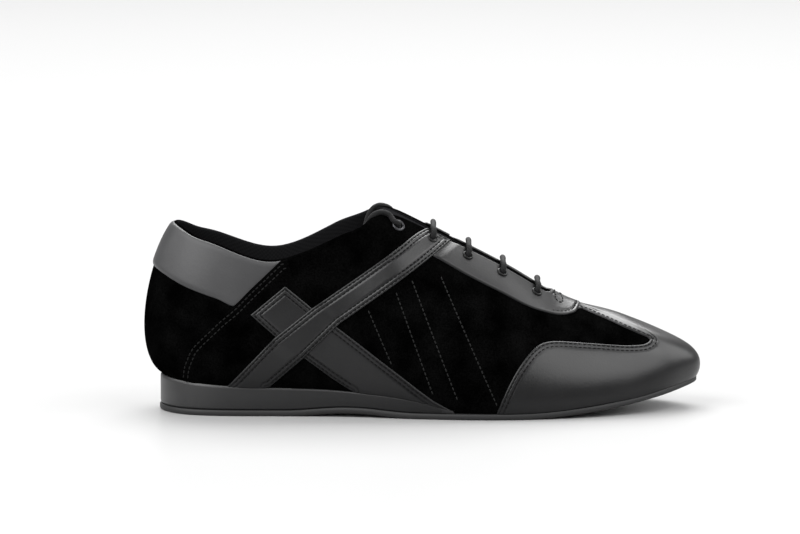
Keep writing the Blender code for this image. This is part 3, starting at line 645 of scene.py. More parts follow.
def hide(name, colour, worn, gloss, shine, shade_below):
    """Corrected-grain leather, pigmented and satin finished: a soft gloss over a fine pebbled grain, which is
    drawn about twice as coarse as real so that it shows. Its shine is cut by painted shade in the grooves
    that stitches pull in, and towards the sole below a height."""
    material, tree, shader = start_material(name, colour, gloss)
    place = add_node(tree, "ShaderNodeTexCoord").outputs["Object"]
    cloud = add_node(tree, "ShaderNodeTexNoise",
                     {"Vector": place, "Scale": 1 / (CLOUD_MM * MM), "Detail": 3.0})
    grain = add_node(tree, "ShaderNodeTexVoronoi", {"Vector": place, "Scale": 1 / (GRAIN_MM * MM)},
                     feature="SMOOTH_F1")
    pore = add_node(tree, "ShaderNodeTexNoise", {"Vector": place, "Scale": 1 / (PORE_MM * MM), "Detail": 3.0})
    relief = add_node(tree, "ShaderNodeMath", {0: grain.outputs["Distance"], 1: pore.outputs["Fac"]},
                      operation="ADD")
    wave = add_node(tree, "ShaderNodeBump",
                    {"Height": cloud.outputs["Fac"], "Strength": 0.35, "Distance": 0.7 * MM})
    bump = add_node(tree, "ShaderNodeBump", {"Height": relief.outputs[0], "Normal": wave.outputs["Normal"],
                                             "Strength": 0.22, "Distance": 0.12 * MM})
    tone = add_node(tree, "ShaderNodeValToRGB", {"Fac": cloud.outputs["Fac"]})
    tone.color_ramp.elements[0].position = 0.3
    tone.color_ramp.elements[0].color = linear(colour)
    tone.color_ramp.elements[1].position = 0.7
    tone.color_ramp.elements[1].color = linear(worn)
    rough = add_node(tree, "ShaderNodeMapRange",
                     {"Value": cloud.outputs["Fac"], "To Min": gloss - GLOSS_SPREAD,
                      "To Max": gloss + GLOSS_SPREAD})
    # Painted shade: the groove attribute cuts the shine in the stitch grooves, and the height cuts it towards
    # the sole.
    sunk = add_node(tree, "ShaderNodeAttribute", attribute_name="groove", attribute_type="GEOMETRY")
    level = add_node(tree, "ShaderNodeMapRange", {"Value": sunk.outputs["Fac"], "To Min": shine,
                                                  "To Max": GROOVE_SHADE_SHARE * shine})
    high = add_node(tree, "ShaderNodeSeparateXYZ", {"Vector": place})
    sole_shade = add_node(tree, "ShaderNodeMapRange",
                      {"Value": high.outputs["Z"], "From Min": SHADE_FULL_BELOW * MM, "From Max": shade_below * MM,
                       "To Min": SOLE_SHADE_SHARE, "To Max": 1.0})
    level = add_node(tree, "ShaderNodeMath", {0: level.outputs["Result"], 1: sole_shade.outputs["Result"]},
                     operation="MULTIPLY")
    tree.links.new(tone.outputs["Color"], shader.inputs["Base Color"])
    tree.links.new(rough.outputs["Result"], shader.inputs["Roughness"])
    tree.links.new(level.outputs[0], shader.inputs["Specular IOR Level"])
    tree.links.new(bump.outputs["Normal"], shader.inputs["Normal"])
    return material


# The collar is a soft charcoal nappa, a shade lighter and duller than the calf.
nappa = hide("soft_charcoal_nappa", "#2c2c2d", "#333334", 0.45, 0.4, 24.0)
# The toe cap and the eyestay are black calf with a smooth satin finish.
calf = hide("satin_black_calf", "#0a0a0b", "#0f0f10", 0.32, 0.42, 24.0)
# The straps are cut from the same calf, with the painted shade in their shine reaching further up from the
# sole.
strap_calf = hide("sole_shaded_black_calf", "#0a0a0b", "#0f0f10", 0.34, 0.42, 52.0)

collar_u = np.linspace(-COLLAR_END, COLLAR_END, COLLAR_COLUMNS + 1)
collar_top = top_edge(collar_u)
collar_low = np.minimum(cut(collar_u, side_line(COLLAR_EDGE), COLLAR_START_T, 1.0), collar_top)
collar_edges = ((collar_u, collar_low), (collar_u, collar_top))
collar_grid = panel_grid(collar_u, collar_low, collar_top, COLLAR_ROWS)
collar = leather_panel("heel_collar_leather", (collar_grid,), collar_edges, (), nappa, COLLAR_FOLD)
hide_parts("heel_collar")

# Quarter edge. The suede front quarter laps over the heel counter and the collar along the rear seam.
# Its raw edge stands proud, sewn down with two rows of thread painted soot, and the lap fades into the wall.
REAR_SEAM = ((18.9, 17.0), (19.5, 23.6), (20.6, 28.6), (22.5, 33.6), (25.3, 38.0), (30.1, 43.0), (34.8, 47.5),
             (39.5, 51.9), (44.3, 55.8), (49.0, 60.2), (53.7, 65.0), (58.4, 69.5), (63.2, 74.0), (76.0, 86.2))
REAR_SEAM_START = 1.69
REAR_SEAM_END = 4.28
REAR_SEAM_POINTS = 400
LAP_COLUMNS = 170
LAP_STEPS = 22
LAP_HIGH = 1.5
LAP_WIDE = 16.0
LAP_ROUND = 0.7
LAP_ROWS = (1.9, 4.3)
THREAD_HIGH = 0.42
THREAD_WIDE = 0.4
STITCH_LONG = 2.0
STITCH_PITCH = 2.6
STITCH_AIM = 0.5
STITCH_PROUD = 0.1
BEAD_SIDES = 6
BEAD_RINGS = 5
BEAD_FULL = 0.7
PLY_MM = 0.4


def lap_height(away):
    """Height of the lap a distance in front of its edge: a small round, then a slow fall to nothing."""
    fade = np.clip(1 - away / LAP_WIDE, 0, 1)
    edge = np.sqrt(1 - (1 - np.clip(away / LAP_ROUND, 0, 1)) ** 2)
    return SEATED + LAP_HIGH * edge * fade ** 2 * (3 - 2 * fade) - TROUGH_DEEP * trough(away, LAP_ROWS) * edge


def bead():
    """A stitch one unit long and wide: a round bead, drawn out along x, with few faces."""
    turn, pitch = np.meshgrid(np.linspace(0, 2 * math.pi, BEAD_SIDES + 1),
                              np.linspace(0, math.pi, BEAD_RINGS + 1), indexing="ij")
    wide = np.sin(pitch) ** BEAD_FULL
    grid = np.stack([-np.cos(pitch), wide * np.cos(turn), wide * np.sin(turn)], axis=-1)
    return grid.reshape(-1, 3), grid_quads(*turn.shape)


def stitch_piece(name, rows, material):
    """One mesh of every stitch on the given rows. A row is a line on the wall, the height of its stitches
    over the wall, and a function for what lifts them further."""
    shape, quads = bead()
    points, faces, start = [], [], 0
    for (u, t), high, lift in rows:
        run = along_line(last(u, t))
        want = np.arange(STITCH_PITCH / 2, run[-1] - STITCH_LONG / 2, STITCH_PITCH)
        if len(want) == 0:
            continue
        spot, level = np.interp(want, run, u), np.interp(want, run, t)
        ahead, behind = want + STITCH_AIM, want - STITCH_AIM
        base, normal = last(spot, level), last_normal(spot, level)
        heading = unit_vectors(last(np.interp(ahead, run, u), np.interp(ahead, run, t))
                               - last(np.interp(behind, run, u), np.interp(behind, run, t)))
        aside = np.cross(normal, heading)
        raised = high + (0 if lift is None else lift(base)) - feather(base, spot)
        centre = base + raised[:, None] * normal
        beads = (centre[:, None] + STITCH_LONG / 2 * shape[None, :, :1] * heading[:, None]
                 + THREAD_WIDE * shape[None, :, 1:2] * aside[:, None]
                 + THREAD_HIGH * shape[None, :, 2:] * normal[:, None])
        points.append(beads.reshape(-1, 3))
        faces.append((quads + np.arange(len(want))[:, None, None] * len(shape) + start).reshape(-1, 4))
        start += len(want) * len(shape)
    piece = make_piece(name, np.concatenate(points), np.concatenate(faces), (material,), sharp=SOFT_EDGE)
    return piece


def thread_material(name, colour):
    """Bonded polyester thread: a matt twisted cord with an uneven surface."""
    material, tree, shader = start_material(name, colour, 0.7)
    shader.inputs["Specular IOR Level"].default_value = 0.15
    place = add_node(tree, "ShaderNodeTexCoord").outputs["Object"]
    ply = add_node(tree, "ShaderNodeTexNoise", {"Vector": place, "Scale": 1 / (PLY_MM * MM), "Detail": 2.0})
    bump = add_node(tree, "ShaderNodeBump",
                    {"Height": ply.outputs["Fac"], "Strength": 0.4, "Distance": 0.1 * MM})
    tree.links.new(bump.outputs["Normal"], shader.inputs["Normal"])
    return material


# One thread in three painted tones. The rows on the leather sink in, and their black is the painted shade of
# their grooves. On the suede, the vamp's are a charcoal painted highlight that stands out from the nap, and
# those of the rear seam are a soot between the two.
groove_shaded_thread = thread_material("bonded_thread_shaded_for_grooves", "#020202")
vamp_lit_thread = thread_material("bonded_thread_lit_for_vamp", "#171717")
half_shaded_thread = thread_material("bonded_thread_half_shaded_for_seam", "#0e0e0e")


def both_sides(start, end, count):
    """Places along the outer side and the same places along the inner side, u growing along both."""
    u = np.linspace(start, end, count)
    return ("outer", u), ("inner", ROUND - u[::-1])


lap_rows = []
for side, u in both_sides(REAR_SEAM_START, REAR_SEAM_END, REAR_SEAM_POINTS):
    seam = even_line((u, np.minimum(cut(u, side_line(REAR_SEAM), 0.0, 1.0), top_edge(u))), LAP_COLUMNS)
    away = LAP_WIDE * np.linspace(0, 1, LAP_STEPS) ** 2
    lines = [offset_line(seam, -inset) for inset in away]
    spot, level = (np.stack(values, axis=1) for values in zip(*lines))
    level = np.minimum(level, top_edge(spot.ravel()).reshape(level.shape))
    base, normal = last(spot, level), last_normal(spot, level)
    tuck = feather(base, spot)
    top = base + (lap_height(away) - tuck)[..., None] * normal
    bottom = base + (SEATED / 2 - tuck)[..., None] * normal
    top, bottom = top[:, ::-1].reshape(-1, 3), bottom[:, ::-1].reshape(-1, 3)
    points, faces = closed_sheet(top, bottom, grid_quads(*spot.shape))
    lap = make_piece(f"quarter_edge_{side}", points, faces, (suede,))
    lap_rows += [(line, lap_height(np.array(inset)) + STITCH_PROUD, None)
                 for line, inset in zip(inset_rows(seam, (seam,), LAP_ROWS, False), LAP_ROWS)]
stitch_piece("rear_seam_stitches", lap_rows, half_shaded_thread)

# Falling straps. A calf strap on each side runs from a square end near the heel down to the sole at the ball.
# Both long edges and the square end are folded under and sewn with two rows.
FALLING_TOP = ((55.2, 53.4), (73.4, 68.4), (87.4, 57.0), (112.2, 38.5), (125.2, 28.7), (133.6, 22.6),
               (142.0, 16.1), (150.4, 10.0), (158.8, 5.4), (164.5, 3.4))
FALLING_LOW = ((55.2, 53.4), (68.2, 41.9), (83.7, 30.4), (97.3, 20.6), (106.5, 14.6), (112.0, 11.6),
               (117.0, 0.0))
FALLING_START = 3.5
FALLING_END = 8.1
STRAP_ROWS = (1.3, 3.3)
STRAP_COLUMNS = 360
STRAP_STEPS = 44
ROW_PROUD = 0.08
ON_SOLE = 1e-4


def free_edge(u, t):
    """The stretch of a panel's edge that lies above the sole."""
    return u[t > ON_SOLE], t[t > ON_SOLE]


def leather_rows(line, edges, insets, up, lift=None):
    """Stitch rows inside a folded edge, with the height at which they lie in their troughs."""
    high = LEATHER - TROUGH_DEEP + ROW_PROUD
    return [(row, high, lift) for row in inset_rows(line, edges, insets, up)]


def sew_straps(way, start, end, low_line, high_line, lift=None):
    """A strap on each side, and its stitches. Its edges are two side views of straight stretches, and it
    stays below the wall's top edge."""
    for side, u in both_sides(start, end, STRAP_COLUMNS):
        low = cut(u, side_line(low_line, False), 0.0, 1.0)
        high = np.minimum(cut(u, side_line(high_line, False), 0.0, 1.0), top_edge(u))
        edges = (free_edge(u, low), free_edge(u, high))
        grid = panel_grid(u, low, high, STRAP_STEPS)
        strap = leather_panel(f"{way}_strap_{side}", (grid,), edges, STRAP_ROWS, strap_calf, lift=lift)
        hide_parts(f"strap_{way}_{side}")
        rows = leather_rows(edges[0], edges, STRAP_ROWS, True, lift)
        rows += leather_rows(edges[1], edges, STRAP_ROWS, False, lift)
        stitch_piece(f"{way}_strap_stitches_{side}", rows, groove_shaded_thread)


sew_straps("falling", FALLING_START, FALLING_END, FALLING_LOW, FALLING_TOP)

# Rising straps. A second calf strap on each side climbs from the sole at the heel to the throat.
# It lies over the first, bridges that strap's edges, and is folded and sewn the same way.
RISING_BACK = ((43.5, 16.0), (67.5, 41.3), (87.4, 57.0), (113.4, 74.6), (139.0, 92.2), (142.0, 93.8),
               (145.0, 95.0), (150.0, 96.4))
RISING_FRONT = ((65.0, 15.0), (83.2, 31.0), (102.0, 49.0), (138.3, 74.6), (164.0, 92.0))
RISING_START = 3.03
RISING_END = 8.56
BRIDGE_X = (51.2, 125.0)
BRIDGE_HIGH = 1.08
BRIDGE_CLEAR = 0.6
BRIDGE_RAMP = 9.0
EYESTAY_STEP = 0.3
EYESTAY_STEP_X = 124.0
EYESTAY_STEP_RAMP = 24.0


def smooth_share(value):
    """A soft step from 0 at 0 to 1 at 1."""
    value = np.clip(value, 0, 1)
    return value ** 2 * (3 - 2 * value)


def rising_lift(points):
    """How far the strap lifts: over the falling strap, with a short ramp each side, and over the eyestay."""
    x, z = points[..., 0], points[..., 2]
    away = np.maximum(z - side_line(FALLING_TOP, False)(x), side_line(FALLING_LOW, False)(x) - z)
    inside = (x > BRIDGE_X[0]) & (x < BRIDGE_X[1])
    over = np.where(inside, smooth_share(1 - (away - BRIDGE_CLEAR) / BRIDGE_RAMP), 0)
    return BRIDGE_HIGH * over + EYESTAY_STEP * smooth_share((x - EYESTAY_STEP_X) / EYESTAY_STEP_RAMP)


sew_straps("rising", RISING_START, RISING_END, RISING_FRONT, RISING_BACK, rising_lift)

# Toe cap. One piece of calf lasted over the toe, with two notches that show the suede vamp.
# Between the notches a strip runs back along the middle to the throat. Two rows of stitches follow the band's
# edge and one the strip's.
CAP_EDGE = ((182.5, 2.0), (188.0, 15.0), (194.3, 26.5), (200.5, 34.2), (205.5, 38.0), (210.6, 39.2),
            (217.0, 39.0), (227.3, 37.8), (237.8, 36.6), (248.3, 35.6), (255.6, 35.3), (259.0, 35.4),
            (261.0, 35.7), (262.3, 36.2), (263.1, 36.8), (263.4, 37.4))
STRIP_EDGE = ((228.4, 52.4), (235.7, 49.6), (242.0, 47.2), (248.3, 44.5), (254.6, 41.9), (258.8, 40.1),
              (261.0, 39.2), (262.3, 38.6), (263.1, 38.0), (263.4, 37.4))
CAP_START = 8.97
STRIP_START = 12.2
NOTCH_POINT = 14.25
CAP_ROWS = (1.3, 3.3)
CAP_STEPS = 34
BAND_COLUMNS = 240
STRIP_COLUMNS = 120
FRONT_COLUMNS = 181
NOTCH_TURN = 1.7
NOTCH_POINTS = 15
STEADY_STEP = 0.4
STEADY_REACH = 4


def steady(line):
    """A stitch line with small kinks evened out: the mean over a few millimetres at even places along it."""
    near = np.ones(2 * STEADY_REACH + 1) / (2 * STEADY_REACH + 1)
    padded = (np.pad(values, STEADY_REACH, mode="reflect", reflect_type="odd")
              for values in even_line(line, int(along_line(last(*line))[-1] / STEADY_STEP)))
    return tuple(np.convolve(values, near, mode="valid") for values in padded)


def turned(line):
    """The same line run the other way."""
    return line[0][::-1], line[1][::-1]


sides = both_sides(CAP_START, NOTCH_POINT, BAND_COLUMNS)
front_u = np.linspace(NOTCH_POINT, ROUND - NOTCH_POINT, FRONT_COLUMNS)[1:-1]
band_u = np.concatenate([sides[0][1], front_u, sides[1][1]])
band_edge = [cut(u, side_line(CAP_EDGE), 0.0, 1.0) for _, u in sides]
notch = (band_edge[0][-1], band_edge[1][0])
split = np.linspace(*notch, FRONT_COLUMNS)
strip_sides = both_sides(STRIP_START, NOTCH_POINT, STRIP_COLUMNS)
strip_u = np.concatenate([strip_sides[0][1], front_u, strip_sides[1][1]])
strip_edge = [cut(u, side_line(STRIP_EDGE), 0.0, 2.0) for _, u in strip_sides]
strip_edge[0][-1], strip_edge[1][0] = notch
band_high = np.concatenate([band_edge[0], split[1:-1], band_edge[1]])
strip_low = np.concatenate([strip_edge[0], split[1:-1], strip_edge[1]])
cap_grids = (panel_grid(band_u, 0 * band_u, band_high, CAP_STEPS),
             panel_grid(strip_u, strip_low, 0 * strip_u + 2, CAP_STEPS))
cap_edges, cap_rows = [], []
for k, (band, strip) in enumerate(zip(sides, strip_sides)):
    along_band = free_edge(band[1], band_edge[k])
    along_strip = (strip[1], strip_edge[k])
    edges = (along_band, along_strip)
    forward = 1 - 2 * k
    point = np.array([NOTCH_POINT if k == 0 else ROUND - NOTCH_POINT]), np.array([notch[k]])
    ahead = forward * unit_vectors(last(point[0] + NUDGE, point[1]) - last(point[0] - NUDGE, point[1]))[0]
    aside = forward * np.cross(last_normal(*point)[0], ahead)
    turn = np.linspace(-NOTCH_TURN, NOTCH_TURN, NOTCH_POINTS)[:, None]
    bands = inset_rows(along_band, edges, CAP_ROWS, False)
    strips = inset_rows(along_strip, edges, CAP_ROWS, True)
    for inset, band_row, strip_row in zip(CAP_ROWS, bands, strips):
        goal = last(*point) + inset * (np.cos(turn) * ahead + np.sin(turn) * aside)
        arc = slide(np.repeat(point[0], len(turn)), np.repeat(point[1], len(turn)), goal)
        clear = np.min([distance_to(last(*arc), last(*edge)) for edge in edges], axis=0) > inset - ROW_SLACK
        parts = [band_row, (arc[0][clear], arc[1][clear])]
        if k == 1:
            parts[0] = turned(band_row)
        if inset == CAP_ROWS[0]:
            parts.append(turned(strip_row) if k == 0 else strip_row)
        row = tuple(np.concatenate(values) for values in zip(*parts))
        cap_rows.append((steady(row), LEATHER - TROUGH_DEEP + ROW_PROUD, None))
    cap_edges += edges
cap = leather_panel("toe_cap_leather", cap_grids, cap_edges, CAP_ROWS, calf)
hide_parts("toe_cap")
stitch_piece("toe_cap_stitches", cap_rows, groove_shaded_thread)

# Eyestay. A calf band round the throat that carries the eyelets, folded at its edges and sewn at its front.
# Its back ends run under the rising straps and its front end lies over the strip of the toe cap.
EYESTAY_EDGE = ((151.0, 82.3), (172.0, 70.4), (187.5, 62.6), (195.9, 58.1), (202.2, 55.2), (208.5, 53.0),
                (213.7, 51.5), (219.0, 50.6), (223.2, 50.8), (225.6, 51.8), (226.9, 53.4))
EYESTAY_START = 8.1
EYESTAY_END = 12.36
EYESTAY_ROWS = (2.2,)
EYESTAY_COLUMNS = 360
EYESTAY_STEPS = 36
EYESTAY_UNDER = 0.4
EYESTAY_SINK = 0.6
EYESTAY_SINK_X = 170.0
EYESTAY_SINK_RAMP = 6.0
END_POINTS = 20
FRONT_ROW_X = 212.0
STRIP_STEP = 0.5
STRIP_STEP_X = 212.0
STRIP_RAMP = 14.0
# Half of the loop of stitches that closes the throat: x and distance along the leather from the middle line.
THROAT_LOOP = ((213.5, 0.0), (213.7, 9.0), (214.3, 11.2), (215.6, 11.9), (217.0, 10.8), (217.8, 8.0),
               (217.0, 4.5), (215.9, 0.0))
LOOP_POINTS = 90
LOOP_PROUD = 0.05
LOOP_PLACES = np.linspace(11, 12.5, 60)
REACH_STEPS = 160


def reach_down(u, distance):
    """The t on each section that lies a distance below t 1, measured along the wall."""
    share = np.linspace(0, 1, REACH_STEPS + 1)
    steps = np.linalg.norm(np.diff(last(u[:, None], share[None, :]), axis=1), axis=2)
    length = np.concatenate([np.zeros((len(u), 1)), np.cumsum(steps, axis=1)], axis=1)
    want = length[:, -1] - distance
    k = np.clip((length < want[:, None]).sum(axis=1), 1, REACH_STEPS)
    row = np.arange(len(u))
    before, after = length[row, k - 1], length[row, k]
    return share[k - 1] + (want - before) / (after - before) * (share[1] - share[0])


def eyestay_lift(points):
    """Up over the toe cap's strip at the front end, and down under the rising strap at the back end."""
    x, z = points[..., 0], points[..., 2]
    below = side_line(RISING_FRONT, False)(x) - z
    sink = np.where(x < EYESTAY_SINK_X, smooth_share(1 - below / EYESTAY_SINK_RAMP), 0)
    return STRIP_STEP * smooth_share((x - STRIP_STEP_X) / STRIP_RAMP) - EYESTAY_SINK * sink


stay_grids, stay_edges, stay_rows = [], [], []
for side, u in both_sides(EYESTAY_START, EYESTAY_END, EYESTAY_COLUMNS):
    strap = cut(u, lambda x: side_line(RISING_FRONT, False)(x) + EYESTAY_UNDER, 0.0, 1.0)
    high = np.where(strap < 1, strap, top_edge(u))
    low = np.minimum(cut(u, side_line(EYESTAY_EDGE), 0.0, 2.0), high)
    stay_grids.append(panel_grid(u, low, high, EYESTAY_STEPS))
    front = -1 if side == "outer" else 0
    lower = (u, low)
    end = (np.full(END_POINTS, u[front]), np.linspace(low[front], 2, END_POINTS))
    open_throat = (strap >= 1) & (high < 2)
    throat = (u[open_throat], high[open_throat])
    stay_edges += (lower, end, throat)
    ahead = last(u, low)[:, 0] > FRONT_ROW_X
    stay_rows += leather_rows((u[ahead], low[ahead]), (lower, end), EYESTAY_ROWS, True, eyestay_lift)
    stay_rows += leather_rows(end, (lower, end), EYESTAY_ROWS, side == "outer", eyestay_lift)
    knots = along_line(np.array(THROAT_LOOP))
    fine = np.linspace(0, knots[-1], LOOP_POINTS)
    loop_x, away = (np.interp(fine, knots, values) for values in np.transpose(THROAT_LOOP))
    loop_u = np.interp(loop_x, section(LOOP_PLACES)["top_x"], LOOP_PLACES)
    half = section(loop_u)["half"]
    loop_t = np.where(away < half, 2 - away / half, reach_down(loop_u, np.maximum(away - half, 0)))
    loop_u = loop_u if side == "outer" else ROUND - loop_u
    stay_rows.append(((loop_u, loop_t), LEATHER + LOOP_PROUD, eyestay_lift))
eyestay = leather_panel("eyestay_leather", stay_grids, stay_edges, EYESTAY_ROWS, calf, lift=eyestay_lift,
                        sewn_from=FRONT_ROW_X)
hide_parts("eyestay")
stitch_piece("eyestay_stitches", stay_rows, groove_shaded_thread)

# Vamp stitching. Four slanting rows of thread quilt the suede between the straps and the toe cap.
# Their charcoal colour is a painted highlight, lighter than the same thread on the leather.
# Each row is sewn through the wall and pulls a shallow trough into the nap.
VAMP_ROW_POINTS = 60
SEEN_COLUMNS = np.linspace(0, TIP, 161)
SEEN_ROWS = np.linspace(0.01, 0.99, 81)
SEEN_STEPS = 5
SEEN_LIMITS = (0.005, 0.995)


def on_side(x, z, inner):
    """Places on one side of the wall that are seen at x and z from the side: the nearest point of a coarse
    grid, then Newton steps in x and z."""
    grid_u, grid_t = np.meshgrid(SEEN_COLUMNS, SEEN_ROWS, indexing="ij")
    grid = last(grid_u, grid_t).reshape(-1, 3)
    near = ((grid[:, 0] - x[:, None]) ** 2 + (grid[:, 2] - z[:, None]) ** 2).argmin(axis=1)
    u, t = grid_u.ravel()[near], grid_t.ravel()[near]
    for _ in range(SEEN_STEPS):
        here = last(u, t)
        by_u, by_t = wall_runs(u, t)
        size = by_u[:, 0] * by_t[:, 2] - by_u[:, 2] * by_t[:, 0]
        miss_x, miss_z = x - here[:, 0], z - here[:, 2]
        u = u + (by_t[:, 2] * miss_x - by_t[:, 0] * miss_z) / size
        t = np.clip(t + (by_u[:, 0] * miss_z - by_u[:, 2] * miss_x) / size, *SEEN_LIMITS)
    return (ROUND - u if inner else u), t


vamp_rows = []
for top_x, top_z, low_x, low_z in VAMP_ROWS:
    share = np.linspace(0, 1, VAMP_ROW_POINTS)
    for inner in (False, True):
        row = on_side(top_x + (low_x - top_x) * share, top_z + (low_z - top_z) * share, inner)
        vamp_rows.append((row, STITCH_PROUD - VAMP_ROW_DEEP, None))
stitch_piece("vamp_stitches", vamp_rows, vamp_lit_thread)

# Tongue. A padded cloth flap sewn in at the front of the throat. It lies under both edges of the throat.
# Its back end stands a little behind the top eyelets, with rounded corners.
TONGUE_BACK = 6.86
TONGUE_FRONT = 11.9
TONGUE_UNDER = 13.0
TONGUE_CLEAR = 0.9
TONGUE_THICK = 3.0
TONGUE_SAG = 0.55
TONGUE_CORNER = 0.3
TONGUE_PLUMP = 0.5
TONGUE_PLUMP_RAMP = 8.0
TONGUE_EDGE = 0.02
TONGUE_FULL = 0.97
TONGUE_COLUMNS = 110
TONGUE_ROWS = 61


def tongue_sheet():
    """A sheet a depth under the wall from one side of the throat to the other. Its thickness swells from a
    thin edge to a soft middle like a flat cushion."""
    place = np.linspace(0, 1, TONGUE_COLUMNS)[:, None]
    across = np.linspace(-1, 1, TONGUE_ROWS)[None, :]
    back = TONGUE_BACK + TONGUE_CORNER * across ** 4
    u = back + (TONGUE_FRONT - back) * place
    low = reach_down(u.ravel(), TONGUE_UNDER).reshape(u.shape)
    t = 2 - (2 - low) * np.abs(across)
    spot = np.where(across < 0, u, ROUND - u)
    normal = last_normal(spot, t)
    c = section(u)
    sag = TONGUE_SAG * (1 - place) * c["half"] * np.tan(np.radians(c["dip"])) / 2
    over = np.clip(t - 1, 0, 1)
    middle = last(spot, t) - (WALL + TONGUE_CLEAR + TONGUE_THICK / 2) * normal
    middle[..., 2] -= sag * (1 - (1 - over) ** 2)
    border = np.concatenate([middle[:, 0], middle[-1], middle[::-1, -1], middle[0, ::-1]])
    away = distance_to(middle, border)
    bulge = np.sqrt(1 - (1 - np.clip(away / TONGUE_THICK, 0, 1)) ** 2)
    half = TONGUE_EDGE + TONGUE_FULL * TONGUE_THICK / 2 * bulge
    plump = TONGUE_PLUMP * over * smooth_share(away / TONGUE_PLUMP_RAMP)
    along = np.cumsum(np.linalg.norm(np.diff(middle, axis=0, prepend=middle[:1]), axis=2), axis=0)
    over_way = np.cumsum(np.linalg.norm(np.diff(middle, axis=1, prepend=middle[:, :1]), axis=2), axis=1)
    uv = np.stack([along, over_way], axis=-1).reshape(-1, 2)
    top = (middle + (half + plump)[..., None] * normal).reshape(-1, 3)
    bottom = (middle - half[..., None] * normal).reshape(-1, 3)
    points, faces = closed_sheet(top, bottom, grid_quads(*u.shape))
    return points, faces, np.concatenate([uv, uv])


points, faces, uv = tongue_sheet()
tongue = make_piece("padded_tongue", points, faces, (lining_cloth,), uv=uv)
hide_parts("tongue")

# Eyelets. Ten small turned brass rings with rolled flanges, clinched through the wall in two rows of five.
# The top pair, plated in gunmetal, sits straight on the suede. The others are smaller, lacquered black, and
# sit on the leather.
EYELET_ROWS = (7.23, 8.11, 8.99, 9.88, 10.86)
EYELET_SET = 6.2
EYELET_SIDES = 48
EYELET_SCALE = (1.0, 0.82, 0.82, 0.82, 0.82)
# Radius and height of a ring's section: a disc of painted shade in its hole, over the flange and back below.
EYELET_PROFILE = ((0.0, 0.02), (1.1, 0.02), (2.1, -0.1), (2.1, 0.35), (2.22, 0.66), (2.5, 0.88), (2.85, 0.92),
                  (3.2, 0.78), (3.46, 0.46), (3.56, 0.08), (3.5, -0.1), (0.0, -0.1))
PLATING_CLOUD_MM = 1.5


def eyelet_place(k, inner):
    """Place round the ring, centre, outward normal and direction up the wall of an eyelet."""
    u = np.array([ROUND - EYELET_ROWS[k] if inner else EYELET_ROWS[k]])
    t = reach_down(u, EYELET_SET)
    up = unit_vectors(last(u, t + NUDGE) - last(u, t - NUDGE))[0]
    return u, last(u, t)[0], last_normal(u, t)[0], up


def cover(k):
    """Height over the suede of what the eyelets in row k sit on."""
    return 0.0 if k == 0 else LEATHER


# Gunmetal plating: dark, smooth and semi-bright, with a faint clouding from the plating bath.
metal, tree, shader = start_material("gunmetal_plating", "#3a3a3c", 0.3)
shader.inputs["Metallic"].default_value = 1.0
place = add_node(tree, "ShaderNodeTexCoord").outputs["Object"]
cloud = add_node(tree, "ShaderNodeTexNoise",
                 {"Vector": place, "Scale": 1 / (PLATING_CLOUD_MM * MM), "Detail": 3.0})
gloss = add_node(tree, "ShaderNodeMapRange", {"Value": cloud.outputs["Fac"], "To Min": 0.22, "To Max": 0.4})
tree.links.new(gloss.outputs["Result"], shader.inputs["Roughness"])

# Black lacquer over the rings on the leather: smooth, with a weak gloss, and as dark as the lace.
lacquer, tree, shader = start_material("black_lacquered_brass", "#060606", 0.4)
shader.inputs["Specular IOR Level"].default_value = 0.2

turn = np.linspace(0, 2 * math.pi, EYELET_SIDES + 1)[:, None, None]
profile = np.array(EYELET_PROFILE)
faces = grid_quads(EYELET_SIDES + 1, len(profile))
# The disc in each hole takes the near-black suede: painted shade where the hole goes into the shoe.
hole_shade_disc = np.tile(np.arange(len(profile) - 1), EYELET_SIDES) < 1
for k in range(len(EYELET_ROWS)):
    for side, inner in (("outer", False), ("inner", True)):
        _, centre, normal, up = eyelet_place(k, inner)
        spoke = np.cos(turn) * np.cross(up, normal) + np.sin(turn) * up
        points = centre + EYELET_SCALE[k] * profile[:, :1] * spoke + (profile[:, 1:] + cover(k)) * normal
        finish = lacquer if k else metal
        ring = make_piece(f"eyelet_ring_{side}_{k + 1}", points, faces, (finish, suede), hole_shade_disc)
        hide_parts(f"eyelet_{side}_{k + 1}")

# Lace. A round braided black cord laced straight across, one bar over each pair of eyelets.
# Each bar dips into its eyelets at both ends. The top bar goes over the rim and across behind the tongue.
LACE = 2.9
LACE_SIDES = 30
LACE_STEP = 0.22
BRAID_STRANDS = 5
BRAID_PITCH = 7.5
BRAID_DEEP = 0.10
FIBRE_MM = 0.3
# Side view of the top bar from its eyelet, over the rim and into the shoe: x, z and distance outside the rim.
TOP_ROUTE = ((130.5, 100.4, 5.1), (127.9, 103.3, 1.9), (124.7, 104.9, 0.4), (121.3, 104.8, -0.9),
             (118.6, 103.0, -2.6), (116.8, 100.2, -4.4), (115.6, 97.0, -6.2), (115.0, 94.6, -8.5))
TOP_RIM = np.linspace(6, 7.4, 120)
FAR_LOWER = 0.7
# Where a bar leaves its eyelet: height over what the eyelet sits on and distance towards the throat.
BAR_START = ((-0.4, 0.3), (1.1, 0.7))
# The next points of the lower bars, over the flange, in the same two measures.
BAR_ROUTE = ((2.05, 1.9), (2.45, 4.0))
# The lower bars at the edge of the throat: height over the leather and distance past the edge.
BAR_EDGE_HIGH = 1.7
BAR_EDGE_PAST = 0.2
BAR_EDGE_T = 0.99
BAR_EDGE_STEP = 0.03
BAR_POINTS = 7
BAR_ARCH = 0.35
PATH_POINTS = 600


def smooth_path(corners, step):
    """A curve through corner points, each coordinate a natural spline of the distance along their chords."""
    run = along_line(corners)
    fine = np.linspace(0, run[-1], PATH_POINTS)
    curve = np.stack([side_line(np.column_stack([run, corners[:, k]]))(fine) for k in range(3)], axis=-1)
    run = along_line(curve)
    want = np.linspace(0, run[-1], int(run[-1] / step) + 1)
    return np.stack([np.interp(want, run, curve[:, k]) for k in range(3)], axis=-1)


